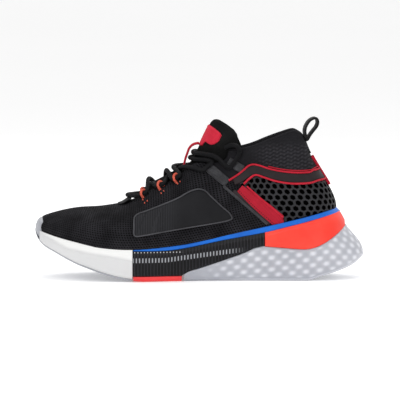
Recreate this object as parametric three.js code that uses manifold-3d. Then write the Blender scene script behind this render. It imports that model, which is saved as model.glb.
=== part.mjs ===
// Knitted basketball high top, left shoe, size EU 42.5. Millimetres, +Z up, toe towards -X,
// lateral side towards -Y. The sole is one outline cut into its layers by side profiles, and
// the upper is one smooth hull whose layers are cut into panels by the same kind of profiles.
import * as THREE from "three";
import { mergeVertices } from "three/addons/utils/BufferGeometryUtils.js";
import Module from "manifold-3d";

const wasm = await Module();
wasm.setup();

// ---- driving dimensions -------------------------------------------------------------------
const gap = 0.3; // clearance between neighbouring pieces
const upperHeelX = 124; // ends of the seam between upper and sole
const upperToeX = -146;
const soleHeelX = 149; // ends of the sole
const soleToeX = -149.5;
const heelRound = 40; // how far the rounded ends of the seam line reach
const toeRound = 55;
const flexX = -60; // line across the ball where the shoe bends
const flexZ = 29.9;
const skin = 2.6; // knitted shell of the upper
const film = 0.8; // printed film on the knit
const webbing = 1.2; // woven straps and bands
const piping = 1.9; // height of the raised red piping
const padding = 3; // foam inside the collar
const stiffener = 1.4; // toe puff and heel counter
const treadDepth = 2.2; // rubber under the forefoot
const cageFloor = 3; // bottom of the midfoot cage
const cupWall = 3.3; // outer wall of cage and clip, outside the plate's cup
const footWall = 6.5; // from the seam line in to the foot
const boardThick = 1.5;
const linerThick = 4;
const laceRadius = 2;
const cordRadius = 1; // eyelet cord loops
const loopRoom = 0.7; // play of the lace in its loops
const tongueThick = 4.3;
const tongueTuck = 3.2; // how deep the tongue lies under the hull
const bendZ = 119.3; // height where the free part of the tongue bends
const loopWidth = 10; // pull loop webbing
const sideStations = 26; // outline points on each side of the shoe
const hullRows = 7;

// ---- small numeric helpers ----------------------------------------------------------------
const mix = (a, b, k) => a + (b - a) * k;
const clamp = (v, low, high) => Math.min(high, Math.max(low, v));
const ease = (v, low, high) => {
  const k = clamp((v - low) / (high - low), 0, 1);
  return k * k * (3 - 2 * k);
};

// A smooth function through rows of [position, value, value...], rising in position.
// It gives a number for rows with one value, and a list for rows with more.
function smooth(rows) {
  const slopeAt = (i, c) => {
    const a = rows[Math.max(0, i - 1)];
    const b = rows[Math.min(rows.length - 1, i + 1)];
    return (b[c] - a[c]) / (b[0] - a[0]);
  };
  return (position) => {
    const p = clamp(position, rows[0][0], rows[rows.length - 1][0]);
    const i = clamp(rows.findIndex((row) => row[0] >= p) - 1, 0, rows.length - 2);
    const span = rows[i + 1][0] - rows[i][0];
    const k = (p - rows[i][0]) / span;
    const values = rows[i].slice(1).map((from, n) => {
      const to = rows[i + 1][n + 1];
      const out = slopeAt(i, n + 1) * span;
      const into = slopeAt(i + 1, n + 1) * span;
      const k2 = k * k;
      const k3 = k2 * k;
      return (
        (2 * k3 - 3 * k2 + 1) * from + (k3 - 2 * k2 + k) * out +
        (3 * k2 - 2 * k3) * to + (k3 - k2) * into
      );
    });
    return values.length > 1 ? values : values[0];
  };
}

// ---- the shoe's lines, each a height or a width along X ------------------------------------
const seamZ = smooth([
  [-146, 43], [-120, 37], [-90, 31.6], [-60, 30], [-20, 33.2], [0, 36.5], [60, 49], [124, 64],
]);
const bottomLine = smooth([
  [-149.5, 42], [-147, 35.5], [-141, 29.5], [-130, 24], [-120, 19], [-110, 14.5], [-100, 11],
  [-90, 7.5], [-80, 4.5], [-70, 2.3], [-60, 0.8], [-50, 0], [-40, 0], [85, 0], [98, 0],
  [110, 3.6], [120, 6.5], [130, 9.8], [140, 14], [147, 19], [149, 21],
]);
const bottomZ = (x) => Math.max(0, bottomLine(x));
const rearTop = smooth([
  [124, 64], [127.5, 60], [131.5, 53], [134, 46.5], [142, 37], [147, 29.5], [149, 23],
]);
const soleTopZ = (x) => (x > upperHeelX ? rearTop(x) : seamZ(x) - gap);
const plateEdge = smooth([
  [-60, 28], [-30, 28], [-10, 30.5], [20, 36.5], [60, 44], [80, 49], [100, 54], [127, 60.5],
]);
const cageEdge = smooth([
  [-16, 4.8], [-10, 8.5], [0, 11.5], [20, 18], [40, 25], [50, 29.5], [59, 31.5],
]);
const podEdge = smooth([
  [59, 31], [80, 29.3], [95, 28.5], [105, 30.3], [115, 35], [125, 41.7], [132, 47.4],
]);
const footbedZ = smooth([
  [-146, 38], [-130, 31.5], [-115, 26], [-100, 22.5], [-80, 20], [-60, 19.4], [0, 26.6],
  [60, 34.5], [90, 39.2], [124, 43.5],
]);
const spineY = smooth([[-146, 9], [-110, 6], [-60, 2], [0, 0], [124, 0]]);
const lateralHalf = smooth([
  [-146, 48], [-110, 51.5], [-80, 55.5], [-55, 55], [-20, 45.5], [20, 38], [60, 36], [124, 35],
]);
const medialHalf = smooth([
  [-146, 35], [-110, 43.7], [-80, 46.5], [-55, 44], [-20, 35.5], [20, 31.5], [60, 34], [124, 35],
]);
const flare = smooth([[-149.5, 2], [-60, 2.5], [0, 3], [60, 5], [100, 7], [149, 7]]);
const roundEnd = (q) => (q < 1 ? Math.sqrt(Math.max(0, 1 - (1 - q) ** 2)) : 1);
const halfOf = (x, side) => (side < 0 ? lateralHalf : medialHalf)(x);
const seamHalf = (x, side) =>
  halfOf(x, side) * roundEnd((upperHeelX - x) / heelRound) * roundEnd((x - upperToeX) / toeRound);
const soleHalf = (x, side) =>
  (halfOf(x, side) + flare(x)) *
  roundEnd((soleHeelX - x) / (heelRound + 8)) * roundEnd((x - soleToeX) / toeRound);

// ---- solids -------------------------------------------------------------------------------
// A solid from a list of triangles, with its faces turned outwards.
function solidOf(triangles) {
  const raw = new THREE.BufferGeometry().setFromPoints(triangles.flat());
  const merged = mergeVertices(raw, 1e-3);
  const corners = merged.index.array;
  const kept = [];
  for (let i = 0; i < corners.length; i += 3) {
    const [a, b, c] = corners.slice(i, i + 3);
    if (a !== b && b !== c && a !== c) kept.push(a, b, c);
  }
  const make = (triVerts) =>
    new wasm.Manifold(
      new wasm.Mesh({
        numProp: 3,
        vertProperties: merged.attributes.position.array,
        triVerts: new Uint32Array(triVerts),
      }),
    );
  const solid = make(kept);
  return solid.volume() > 0 ? solid : make(kept.reverse());
}

function solidOfGeometry(geometry) {
  const flat = geometry.index ? geometry.toNonIndexed() : geometry;
  const position = flat.getAttribute("position");
  const triangles = [];
  for (let i = 0; i < position.count; i += 3) {
    triangles.push([0, 1, 2].map((n) => new THREE.Vector3().fromBufferAttribute(position, i + n)));
  }
  return solidOf(triangles);
}

function geometryOf(solid) {
  const mesh = solid.getMesh();
  const geometry = new THREE.BufferGeometry();
  geometry.setAttribute("position", new THREE.BufferAttribute(mesh.vertProperties, 3));
  geometry.setIndex(new THREE.BufferAttribute(mesh.triVerts, 1));
  return geometry;
}

const quad = (a, b, c, d) => [[a, b, c], [a, c, d]];

// Skins a list of closed rings, and closes its two ends with rungs across each ring.
function loft(rings) {
  const triangles = [];
  const count = rings[0].length;
  for (let i = 0; i < rings.length - 1; i++) {
    for (let j = 0; j < count; j++) {
      const k = (j + 1) % count;
      triangles.push(...quad(rings[i][j], rings[i + 1][j], rings[i + 1][k], rings[i][k]));
    }
  }
  const rungs = (ring, flip) => {
    for (let j = 0; j < count / 2 - 1; j++) {
      const cap = quad(ring[j], ring[j + 1], ring[count - 2 - j], ring[count - 1 - j]);
      triangles.push(...(flip ? cap.map((t) => [...t].reverse()) : cap));
    }
  };
  rungs(rings[0], false);
  rungs(rings[rings.length - 1], true);
  return solidOf(triangles);
}

// A body along X between two stations, with a wall profile: each level is a share of the
// height and how far the wall stands in from the full half width there.
function bodyAlong(fromX, toX, half, low, high, levels) {
  const rings = [];
  for (let i = 0; i <= sideStations; i++) {
    const x = mix(fromX, toX, (1 - Math.cos((Math.PI * i) / sideStations)) / 2);
    const wall = (side) =>
      levels.map(([share, inset]) => {
        const width = Math.max(0, half(x, side) - inset * clamp(half(x, side) / 12, 0, 1));
        return new THREE.Vector3(x, spineY(x) + side * width, mix(low(x), high(x), share));
      });
    rings.push([...wall(-1), ...wall(1).reverse()]);
  }
  return loft(rings);
}

// A prism across the shoe whose outline is given in side view, as [x, z] points.
function across(points, fromY = -90, toY = 90) {
  const shape = new THREE.Shape(points.map(([x, z]) => new THREE.Vector2(x, z)));
  const prism = new THREE.ExtrudeGeometry(shape, { depth: toY - fromY, bevelEnabled: false });
  prism.rotateX(Math.PI / 2).translate(0, toY, 0);
  return solidOfGeometry(prism);
}

// A prism upwards whose outline is given in plan, as [x, y] points.
function upwards(points, fromZ = -10, toZ = 170) {
  const shape = new THREE.Shape(points.map(([x, y]) => new THREE.Vector2(x, y)));
  const prism = new THREE.ExtrudeGeometry(shape, { depth: toZ - fromZ, bevelEnabled: false });
  return solidOfGeometry(prism.translate(0, 0, fromZ));
}

// Points along one of the shoe's lines, and the side outline between two of them.
const lineAlong = (fromX, toX, height, steps = 14) =>
  Array.from({ length: steps + 1 }, (_, i) => mix(fromX, toX, i / steps)).map((x) => [x, height(x)]);
const between = (fromX, toX, low, high, steps) => [
  ...lineAlong(fromX, toX, low, steps), ...lineAlong(toX, fromX, high, steps),
];

// ---- sole ---------------------------------------------------------------------------------
const wallShape = [[0, 5], [0.12, 1], [0.4, 0], [0.75, 2], [1, 4]];
const soleBlock = (inset) =>
  bodyAlong(
    soleHeelX - inset, soleToeX + inset, (x, side) => soleHalf(x, side) - inset, bottomZ, soleTopZ,
    wallShape,
  );
const fullSole = soleBlock(0);
const below = () => -5;
const above = () => 90;
const plateLow = (x) => footbedZ(x) - 2;
const trimmed = (x) => bottomZ(x) + treadDepth;
const straight = [[0, 0], [1, 0]];
const foreEnd = flexX - gap;
const rearStart = flexX + gap;
const forefoot = across([[-200, -20], [foreEnd, -20], [foreEnd, 200], [-200, 200]]);
const rearfoot = across([[rearStart, -20], [200, -20], [200, 200], [rearStart, 200]]);

// The room for the foot inside the sole's rim, or a layer lying in it.
const footRoom = (inset, low, high) =>
  bodyAlong(
    upperHeelX - footWall - inset, upperToeX + footWall + inset,
    (x, side) => {
      const reach = footWall + inset;
      const ends =
        roundEnd((upperHeelX - reach - x) / heelRound) *
        roundEnd((x - upperToeX - reach) / toeRound);
      return (halfOf(x, side) - reach) * ends;
    },
    low, high, straight,
  );
const pocket = footRoom(0, footbedZ, (x) => seamZ(x) + 9);

const noseX = soleToeX + 5; // flat back of the rubber toe bumper
const treadOutline = [
  ...lineAlong(foreEnd, noseX, trimmed), [noseX - 0.4, 60], [-155, 60], [-155, -5], [foreEnd, -5],
];
const foreSoleOutline = between(
  foreEnd, noseX + gap, (x) => trimmed(x) + gap, above,
);
const forefootOutsole = fullSole.intersect(across(treadOutline));
const forefootMidsole = fullSole.intersect(across(foreSoleOutline)).subtract(pocket);

const padEndX = -16;
const padTop = 4.6;
const midfootPad = fullSole.intersect(
  across([[rearStart, -5], [padEndX, -5], [padEndX, padTop], [rearStart, padTop]]),
);

const cageEndX = 58.8;
const cageLow = (x) => (x < padEndX ? padTop + gap : cageEdge(x) + gap);
const coreLow = (x) => (x < cageEndX ? cageLow(x) + cageFloor + gap : podEdge(x) + gap);
const coreEndX = 112;
const cup = bodyAlong(
  121, rearStart - 0.001, (x, side) => soleHalf(x, side) - cupWall - flare(x) * 0.6,
  plateLow, soleTopZ, straight,
);
const cupRoom = bodyAlong(
  121 + gap, rearStart - 4, (x, side) => soleHalf(x, side) - cupWall - flare(x) * 0.6 + gap,
  (x) => plateLow(x) - gap, (x) => soleTopZ(x) + 1, straight,
);
const coreBody = (grow) =>
  bodyAlong(
    coreEndX + grow, rearStart + 2 - grow,
    (x, side) => soleHalf(x, side) - cupWall - 4.5 - flare(x) * 0.6 + grow,
    (x) => coreLow(x) - grow, (x) => plateLow(x) - gap + grow * 3, straight,
  );
const midsoleCore = coreBody(0);
const cageOutline = between(rearStart, cageEndX, cageLow, (x) => plateEdge(x) - gap, 24);
const midfootCage = fullSole.intersect(across(cageOutline)).subtract(cupRoom)
  .subtract(coreBody(gap));
const clipOutline = between(
  cageEndX + gap, 131.8, (x) => podEdge(x) + gap, (x) => plateEdge(x) - gap, 20,
);
const heelClip = fullSole.intersect(across(clipOutline)).subtract(cupRoom).subtract(coreBody(gap));
const podOutline = [
  [-14, -5], [160, -5], [160, 30], [148, 44], [134, 48.4], [132, 47.4 - gap],
  ...lineAlong(130, 59.2, podEdge, 12), ...lineAlong(58.8, -14, cageEdge, 10),
];
const heelPod = fullSole.intersect(across(podOutline));
const plateRim = soleBlock(-0.5).intersect(
  across(between(rearStart, 127.4, plateEdge, (x) => soleTopZ(x) + 5, 20)),
);
const plate = plateRim.add(cup).subtract(pocket).intersect(
  across(between(rearStart, 127.4, below, above, 1)),
);

// A layer on the foot bed, between two heights over it.
const bedLayer = (low, high) =>
  footRoom(2 * gap, (x) => footbedZ(x) + low, (x) => footbedZ(x) + high);
const board = bedLayer(2 * gap, 2 * gap + boardThick);
const liner = bedLayer(3 * gap + boardThick, 3 * gap + boardThick + linerThick);

// ---- the hull of the upper -----------------------------------------------------------------
// Its crown runs round the collar and then down the instep to the toe: share of the way from
// heel to toe, x, half width of the opening there, and height.
const ridgeFrom = 0.5;
const crownLine = smooth([
  [0, 94, 0, 129.5], [0.07, 91.5, 10, 131.7], [0.13, 86, 17.5, 133.5], [0.2, 75, 23.5, 130.2],
  [0.27, 62, 26, 125.6], [0.34, 48, 25, 120.3], [0.39, 36, 21, 117.3], [0.43, 24, 17, 116],
  [0.465, 8, 10, 113.5], [0.5, -5, 0, 110.5], [0.557, -20, 0, 95], [0.606, -40, 0, 84],
  [0.657, -62, 0, 70.5], [0.714, -86, 0, 65], [0.78, -109, 0, 62.3], [0.843, -127, 0, 58.3],
  [0.913, -137.5, 0, 55.3], [1, -141, 0, 54],
]);

function crownPoint(t) {
  const [x, half, z] = crownLine(t);
  return { point: new THREE.Vector3(x, spineY(x), z), half: t < ridgeFrom ? Math.max(0, half) : 0 };
}

// A point of the hull. u runs round the shoe: 0 at the heel, towards -1 along the lateral side
// and towards 1 along the medial side, both ending at the toe. v rises from seam to crown.
function onHull(u, v) {
  const turn = u > 1 ? u - 2 : u < -1 ? u + 2 : u;
  const side = turn < 0 ? -1 : 1;
  const t = Math.abs(turn);
  const footX = mix(upperHeelX, upperToeX, (1 - Math.cos(Math.PI * t)) / 2);
  const foot = new THREE.Vector3(
    footX, spineY(footX) + side * seamHalf(footX, side), seamZ(footX) + gap / 2,
  );
  const { point, half } = crownPoint(t);
  const ahead = crownPoint(Math.min(1, t + 0.01)).point;
  const along = crownPoint(Math.max(0, t - 0.01)).point.sub(ahead);
  along.divideScalar(along.x || 1);
  const top = point.clone().setY(point.y + side * half);
  const ridge = ease(t, 0.41, ridgeFrom);
  const lean = foot.x - top.x;
  const rise = top.z - foot.z;
  const collarHandle = top.clone().add(new THREE.Vector3(0.1 * lean, side, -0.34 * rise));
  const ridgeHandle = top.clone().addScaledVector(along, 0.35 * lean);
  ridgeHandle.y += side * mix(0.38, 0.52, ease(t, 0.62, 0.8)) * Math.abs(foot.y - top.y);
  const topHandle = collarHandle.lerp(ridgeHandle, ridge);
  const bulge = mix(3.5, 5, ridge) * Math.min(1, seamHalf(footX, side) / 20);
  const footHandle = foot.clone().add(
    new THREE.Vector3(-2 * ease(t, 0.8, 1), side * bulge, mix(0.27, 0.6, ridge) * rise),
  );
  return new THREE.CubicBezierCurve3(foot, footHandle, topHandle, top).getPoint(v);
}

// The same point moved out along the hull's normal.
function offHull(u, v, out) {
  const step = 0.004;
  const low = Math.max(0, v - step);
  const high = Math.min(1, v + step);
  const round = onHull(u + step, v).sub(onHull(u - step, v));
  const up = onHull(u, high).sub(onHull(u, low));
  return onHull(u, v).addScaledVector(round.cross(up).normalize(), out);
}

// The hull as a solid, moved out or in by one distance. A skirt lengthens it downwards, and a
// lift carries its collar upwards, so that one hull can hollow another right through.
function hullSolid(out, skirt = 0, lift = 0) {
  const ring = (v, shift) => {
    const side = (sign) =>
      Array.from({ length: sideStations + 5 }, (_, i) => {
        const t = i / (sideStations + 4);
        const collar = 1 - ease(t, 0.41, ridgeFrom);
        const rise = shift > 0 ? shift * collar : shift;
        return offHull(sign * t, v, out).add(new THREE.Vector3(0, 0, rise));
      });
    return [...side(-1), ...side(1).reverse()];
  };
  const rings = [];
  if (skirt) rings.push(ring(0, -skirt));
  for (let j = 0; j < hullRows; j++) rings.push(ring(j / hullRows, 0));
  rings.push(ring(1, lift));
  return loft(rings);
}

// ---- outlines in side view ------------------------------------------------------------------
// A closed outline that follows a line of [x, z] points at half its width on both sides.
function strip(line, width) {
  const points = line.map(([x, z]) => new THREE.Vector2(x, z));
  const aside = points.map((point, i) => {
    const back = point.clone().sub(points[Math.max(0, i - 1)]).normalize();
    const on = points[Math.min(points.length - 1, i + 1)].clone().sub(point).normalize();
    const way = back.add(on).normalize();
    return new THREE.Vector2(-way.y, way.x).multiplyScalar(width / 2);
  });
  const left = points.map((point, i) => point.clone().add(aside[i]));
  const right = points.map((point, i) => point.clone().sub(aside[i]));
  return [...left, ...right.reverse()].map((point) => [point.x, point.y]);
}

// A closed outline moved inwards (or outwards, for a negative distance).
function inset(outline, distance) {
  const points = outline.map(([x, z]) => new THREE.Vector2(x, z));
  const turn = Math.sign(THREE.ShapeUtils.area(points));
  return points.map((point, i) => {
    const before = points[(i + points.length - 1) % points.length];
    const after = points[(i + 1) % points.length];
    const a = point.clone().sub(before).normalize();
    const b = after.clone().sub(point).normalize();
    const normal = new THREE.Vector2(-a.y - b.y, a.x + b.x).normalize();
    const miter = Math.max(0.5, normal.dot(new THREE.Vector2(-a.y, a.x)));
    return point.clone().addScaledVector(normal, (turn * distance) / miter).toArray();
  });
}

// The vamp creases between two lines that rise from the flex line: the front one leans more,
// so that the toe can turn up until they meet.
const rearCrease = 0.4;
const frontCrease = 1.2;
const creaseTop = flexZ + 50;
const creaseRoot = 2;
const creaseLine = (lean, shift) => [
  [flexX - shift, 0], [flexX - shift, flexZ], [flexX - shift - lean * 50, creaseTop],
];
const toeZone = [...creaseLine(frontCrease, creaseRoot + gap), [-200, creaseTop], [-200, 0]];
const flexOutline = [
  ...creaseLine(frontCrease, creaseRoot), ...creaseLine(rearCrease, 2 * gap).reverse(),
];
const bodyZone = [...creaseLine(rearCrease, gap), [200, 200], [200, 0]];

const pipingUpper = [
  [27.5, 89.6], [34, 93.5], [40, 98.5], [44, 102.3], [47.5, 104], [52, 103.8], [62, 100.7],
  [72, 98.4], [86, 96.7], [100, 96.7], [116, 99],
];
const pipingLower = [
  [42.3, 88.4], [46.5, 92.3], [51, 94.8], [58, 92.8], [68, 89.6], [80, 87.4], [92, 86.9],
  [104, 87.8], [122, 91.5],
];
const bandMiddle = [
  [24, 87.8], [34, 90], [42, 95], [50, 99.4], [60, 96.9], [74, 93.2], [88, 91.8], [100, 91.9],
  [124, 95.5],
];
const strapMiddle = [[36, 84], [55, 68], [74.5, 51.5], [84, 42]];
const collarFront = [[-12, 121], [8, 103.5], [16, 96], [24, 87.8]];
const strapOutline = [
  [33, 81], [32, 78.6], [66, 50.9], [69, 49], [83, 52], [79, 54.6], [60, 69.3], [40.2, 84.8],
];
const webbingOutline = [
  [5.4, 97], [12.4, 103.6], [24.2, 92], [23.4, 88], [24.8, 84.4], [63, 49.5], [59, 49.5], [22, 83],
];
const tabLine = [[32.6, 103.6], [37.2, 101]];
const panelOutline = [
  [-58.5, 42], [-57.6, 57.5], [-54.5, 60.8], [-40, 65.6], [-20, 73.7], [-8, 80.3], [-1, 82],
  [4.5, 80.6], [10.5, 75], [20, 66.3], [28, 59.6], [29.4, 56.6], [25.5, 54], [10, 51.3],
  [-10, 48.4], [-40, 43.6],
];
const throatHalf = [[-66, 0], [-64.5, 6], [-59, 10.5], [-50, 12.5], [-20, 15.5], [8, 17.5],
  [24, 18.3], [33, 16.8], [42, 8]];
const throatOutline = [
  ...throatHalf.map(([x, y]) => [x, spineY(x) - y]),
  ...throatHalf.slice(1).reverse().map(([x, y]) => [x, spineY(x) + y]),
];
const heelLine = (fromZ, toZ) => [[88, fromZ], [135, fromZ], [135, toZ], [88, toZ]];

// ---- panels of the upper --------------------------------------------------------------------
const knit = hullSolid(0).subtract(hullSolid(-skin, 3, 6));
const throat = upwards(throatOutline, 55);
const bodyKnit = knit.intersect(across(bodyZone)).subtract(throat)
  .subtract(across(strip([...collarFront, ...bandMiddle.slice(1)], gap)))
  .subtract(across(strip([...strapMiddle].reverse().concat([bandMiddle[1]]), gap)));
const collarZone = [...collarFront, ...bandMiddle.slice(1), [124, 160], [-12, 160]];
const heelZone = [bandMiddle[1], ...bandMiddle.slice(2), [135, 95.5], [135, 30], [84, 30],
  ...[...strapMiddle].reverse()];
const quarterZone = [
  [-200, 0], [84, 0], ...[...strapMiddle].reverse(), bandMiddle[1], ...[...collarFront].reverse(),
  [-200, 121],
];

// A layer over the hull, cut to an outline in side view between two positions across.
const overlay = (outline, height, fromY = -90, toY = 90, low = gap) =>
  hullSolid(low + height).intersect(across(outline, fromY, toY)).subtract(hullSolid(low, 4, 9));
// A layer inside the knit.
const inlay = (outline, depth, thick, lift = 9) =>
  hullSolid(-depth).intersect(across(outline)).subtract(hullSolid(-depth - thick, 4, lift));
const onSide = (side) => (side < 0 ? [-90, 0] : [0, 90]);

const spineHalf = 4.5;
const heelSpineRoom = hullSolid(2 * gap + piping).intersect(
  across([...pipingLower.map(([x, z]) => [x, z - 1.2]),
    ...pipingUpper.slice(4).reverse().map(([x, z]) => [x, z + 1.2])]),
);
const heelSpine = overlay(heelLine(83, 109), 3, -spineHalf, spineHalf).subtract(heelSpineRoom);
const band = overlay(
  [...pipingUpper.slice(1).map(([x, z]) => [x, z - 1.3]),
    ...[...pipingLower].reverse().map(([x, z]) => [x, z + 1.3]), [38, 86.6], [29, 88]],
  webbing,
);
const throatPatch = overlay([[-72.5, 50], [-60, 50], [-60, 90], [-72.5, 90]], webbing, -90, 90)
  .intersect(upwards([[-73, -9], [-69, -12], [-62, -14], [-62, 18], [-69, 16], [-73, 13]], 55))
  .subtract(upwards(throatOutline, 55));

// ---- the tongue ------------------------------------------------------------------------------
// Above the instep it is a curved sheet: its front line, half width and reach back, by height.
const tongueFront = smooth([
  [97, -16], [100, -14.5], [104, -9.5], [108.5, -5.2], [113, -3.2], [118, -1.2], [122, 0.8],
  [129, 4], [136, 7.5], [146, 13],
]);
const tongueHalf = smooth([[97, 12.5], [119, 16.2], [146, 17]]);
const tongueReach = smooth([[97, 10], [103, 16], [110, 25], [118, 32], [125, 33], [146, 34]]);
const tongueTurn = THREE.MathUtils.degToRad(85);
function tonguePoint(z, turn, out) {
  const angle = turn * tongueTurn;
  return new THREE.Vector3(
    tongueFront(z) - out * Math.cos(angle) + tongueReach(z) * (1 - Math.cos(angle)),
    (tongueHalf(z) + out) * Math.sin(angle), z,
  );
}

function tongueSheet(fromZ, toZ, outer, inner, rows) {
  const turns = Array.from({ length: 15 }, (_, i) => i / 7 - 1);
  return loft(Array.from({ length: rows + 1 }, (_, i) => mix(fromZ, toZ, i / rows)).map((z) => [
    ...turns.map((turn) => tonguePoint(z, turn, outer)),
    ...[...turns].reverse().map((turn) => tonguePoint(z, turn, inner)),
  ]));
}
const tongueHalfPlan = throatHalf.slice(1, 6).map(([x, y]) => [Math.min(x - 1, 4), y + 4.5]);
const tonguePlan = [
  ...tongueHalfPlan.map(([x, y]) => [x, spineY(x) - y]),
  ...tongueHalfPlan.reverse().map(([x, y]) => [x, spineY(x) + y]),
];
const tongueBase = hullSolid(-tongueTuck).intersect(upwards(tonguePlan, 55))
  .subtract(hullSolid(-tongueTuck - tongueThick, 4, 9))
  .add(tongueSheet(98, bendZ - gap, 0, -tongueThick, 8));
const flapOutline = [
  [-8, bendZ], [-6, 125], [2, 137], [8.5, 139.5], [10, 142.6], [13, 144.3], [16.5, 143],
  [25, 137.3], [31, 132.6], [34.5, 127.5], [35.5, bendZ],
];
const tongueFlap = tongueSheet(bendZ, 146, 0, -6, 7).intersect(across(flapOutline));
const patchOutline = [
  [-8, 119.8], [-4, 128], [2, 137.6], [8.6, 138], [14, 135], [19, 131], [20.2, 128.2],
  [18.4, 124.4], [14.5, 121.3], [11, 120.4], [8, 121.3], [5.6, 123.4], [3.4, 121.2], [2.6, 119.8],
];
const tonguePatch = tongueSheet(bendZ, 140, gap + 1, gap, 6).intersect(across(patchOutline));
const keeperLine = [
  [-13.9, 101.4], [-12.8, 104.6], [-11.9, 108.5], [-10.4, 113], [-7.4, 116.9], [-2.4, 118.4],
];
const laceKeeper = across(strip(keeperLine, 1), -4, 4);

// ---- pull loop, a folded webbing ring at the back of the collar ------------------------------
const pullOuter = [
  [96.6, 122.4], [98.6, 124.4], [101.6, 129.4], [105.6, 134.6], [107.8, 138.6], [107.6, 143.8],
  [105, 145.8], [100, 144.4], [96.7, 140.8], [94.4, 135.6], [93.9, 131.2], [95.6, 130.6],
  [96.4, 127],
];
const pullHole = [
  [98.2, 127.6], [99.9, 130.9], [103.8, 136], [105.7, 139.3], [105.6, 142.3], [104.6, 143.7],
  [101.2, 142.6], [98.5, 139.6], [96.6, 135.2], [96.9, 131.8],
];
const pullLoop = across(pullOuter, -loopWidth / 2, loopWidth / 2)
  .subtract(across(pullHole, -loopWidth, loopWidth));
const pullAnchor = overlay(heelLine(113, 121.6), webbing, -loopWidth / 2, loopWidth / 2);

// ---- cords -----------------------------------------------------------------------------------
// A round cord through points, with the same number of steps in each stretch between them.
function cord(points, radius, sides, stepsEach) {
  const curve = new THREE.CatmullRomCurve3(points, false, "centripetal");
  curve.getUtoTmapping = (share) => share;
  const section = new THREE.Shape(
    Array.from({ length: sides }, (_, i) => {
      const angle = (2 * Math.PI * i) / sides;
      return new THREE.Vector2(radius * Math.cos(angle), radius * Math.sin(angle));
    }),
  );
  return solidOfGeometry(new THREE.ExtrudeGeometry(section, {
    steps: (points.length - 1) * stepsEach, extrudePath: curve, bevelEnabled: false,
  }));
}

// The lace, from its tucked lateral end down the throat and back up to its medial end.
const lateralTail = [
  [23, -19, 118.8], [29, -21.6, 121.4], [34.5, -24.4, 119.8], [36.2, -25.4, 114.5],
  [33.6, -25, 109.5], [30.4, -24.9, 104.6], [27.6, -24.8, 101.6], [24.2, -24.4, 102.6],
];
const medialTail = [
  [24.2, 23.4, 102.6], [27.6, 23.8, 101.6], [30.4, 24, 104.6], [33.6, 24.3, 109.5],
  [36.2, 24.7, 114.5], [34.5, 24, 119.8], [29, 21.6, 121.4], [23, 19, 118.8],
];
const laceRoute = [
  ...lateralTail, [17, -22.4, 109.2], [12, -21.2, 111.8], [5, -18.6, 112.9], [-1.8, -12.4, 113.3],
  [-5.8, 0, 113.4], [-4.8, 10.6, 113.9], [-1, 19, 112.8], [3, 22.6, 109.6], [7.6, 22.6, 107.4],
  [11.4, 21, 105.6], [7.4, 21.4, 102], [3, 24, 99.2], [-5.3, 21.9, 100.9], [-12.7, 15.3, 101],
  [-23.7, 0.3, 100.5], [-18.2, -22.2, 94.2], [-22.9, -21.9, 90.3], [-30, 0.8, 97.2],
  [-32.8, 23, 83.3], [-37.1, 22.9, 81.9], [-45.9, 1.4, 89.6], [-48.3, -20.5, 78.7],
  [-52.6, -20.1, 76], [-58.8, -13.6, 74.9], [-65.4, 2, 74.6], [-58.8, 16.7, 74.6],
  [-52.4, 22.8, 75.1], [-48.1, 23, 77.6], [-43.2, 1.4, 85.4], [-37.4, -20.9, 84.1],
  [-33.1, -21.3, 86.2], [-27.9, 0.8, 92.9], [-26, 14, 92.8], [-23.2, 23.2, 86.8],
  [-18.2, 23.4, 90], [-19, 17, 94.2], [-21, 0.3, 96.6], [-14, -15.4, 101.4],
  [-5.4, -23.6, 101], [3, -25.2, 99.2], [7.3, -23.4, 102.3], [11.2, -21.2, 105.8],
  [7, -20.2, 107.6], [2, -16.9, 107.9], [-3.8, -13.2, 108], [-8.7, 0, 108.8], [-3.6, 13, 109.3],
  [1.5, 16.9, 110], [6, 18.8, 110.6], [12, 20.4, 110.4], [18, 22, 107], ...medialTail,
];
const lace = cord(laceRoute.map((point) => new THREE.Vector3(...point)), laceRadius, 8, 1);

// A cord loop over the lace where it turns: its place, the lace's way there and the way out.
function eyeletLoop(at, way, out) {
  const along = new THREE.Vector3(...way).normalize();
  const aside = along.clone().cross(new THREE.Vector3(...out)).normalize();
  const up = aside.clone().cross(along);
  const reach = laceRadius + loopRoom + cordRadius;
  const arc = Array.from({ length: 9 }, (_, i) => THREE.MathUtils.degToRad(-26 + (232 * i) / 8));
  return cord(
    arc.map((angle) => new THREE.Vector3(...at)
      .addScaledVector(aside, reach * Math.cos(angle))
      .addScaledVector(up, reach * Math.sin(angle))),
    cordRadius, 6, 1,
  );
}
const laceWay = [14.8, -1, 8.5];
const eyelets = {
  lateral: [[-50.4, -20.6, 77.4], [-35.2, -21.4, 85], [-20.9, -22.3, 91.8]],
  medial: [[-50.2, 23.2, 76.4], [-35, 23.2, 82.6], [-20.5, 23.6, 88.4]],
};

// ---- the pieces as named meshes -------------------------------------------------------------
const group = new THREE.Group();
group.name = "basketball_high_top";
function add(name, solid, color, roughness = 0.8) {
  const material = new THREE.MeshStandardMaterial({ color, roughness, metalness: 0 });
  const mesh = new THREE.Mesh(geometryOf(solid), material);
  mesh.name = name;
  group.add(mesh);
}
const black = "#1b1b1e";
const charcoal = "#3c3c41";
const red = "#c8142d";
const white = "#eeeeee";

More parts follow.
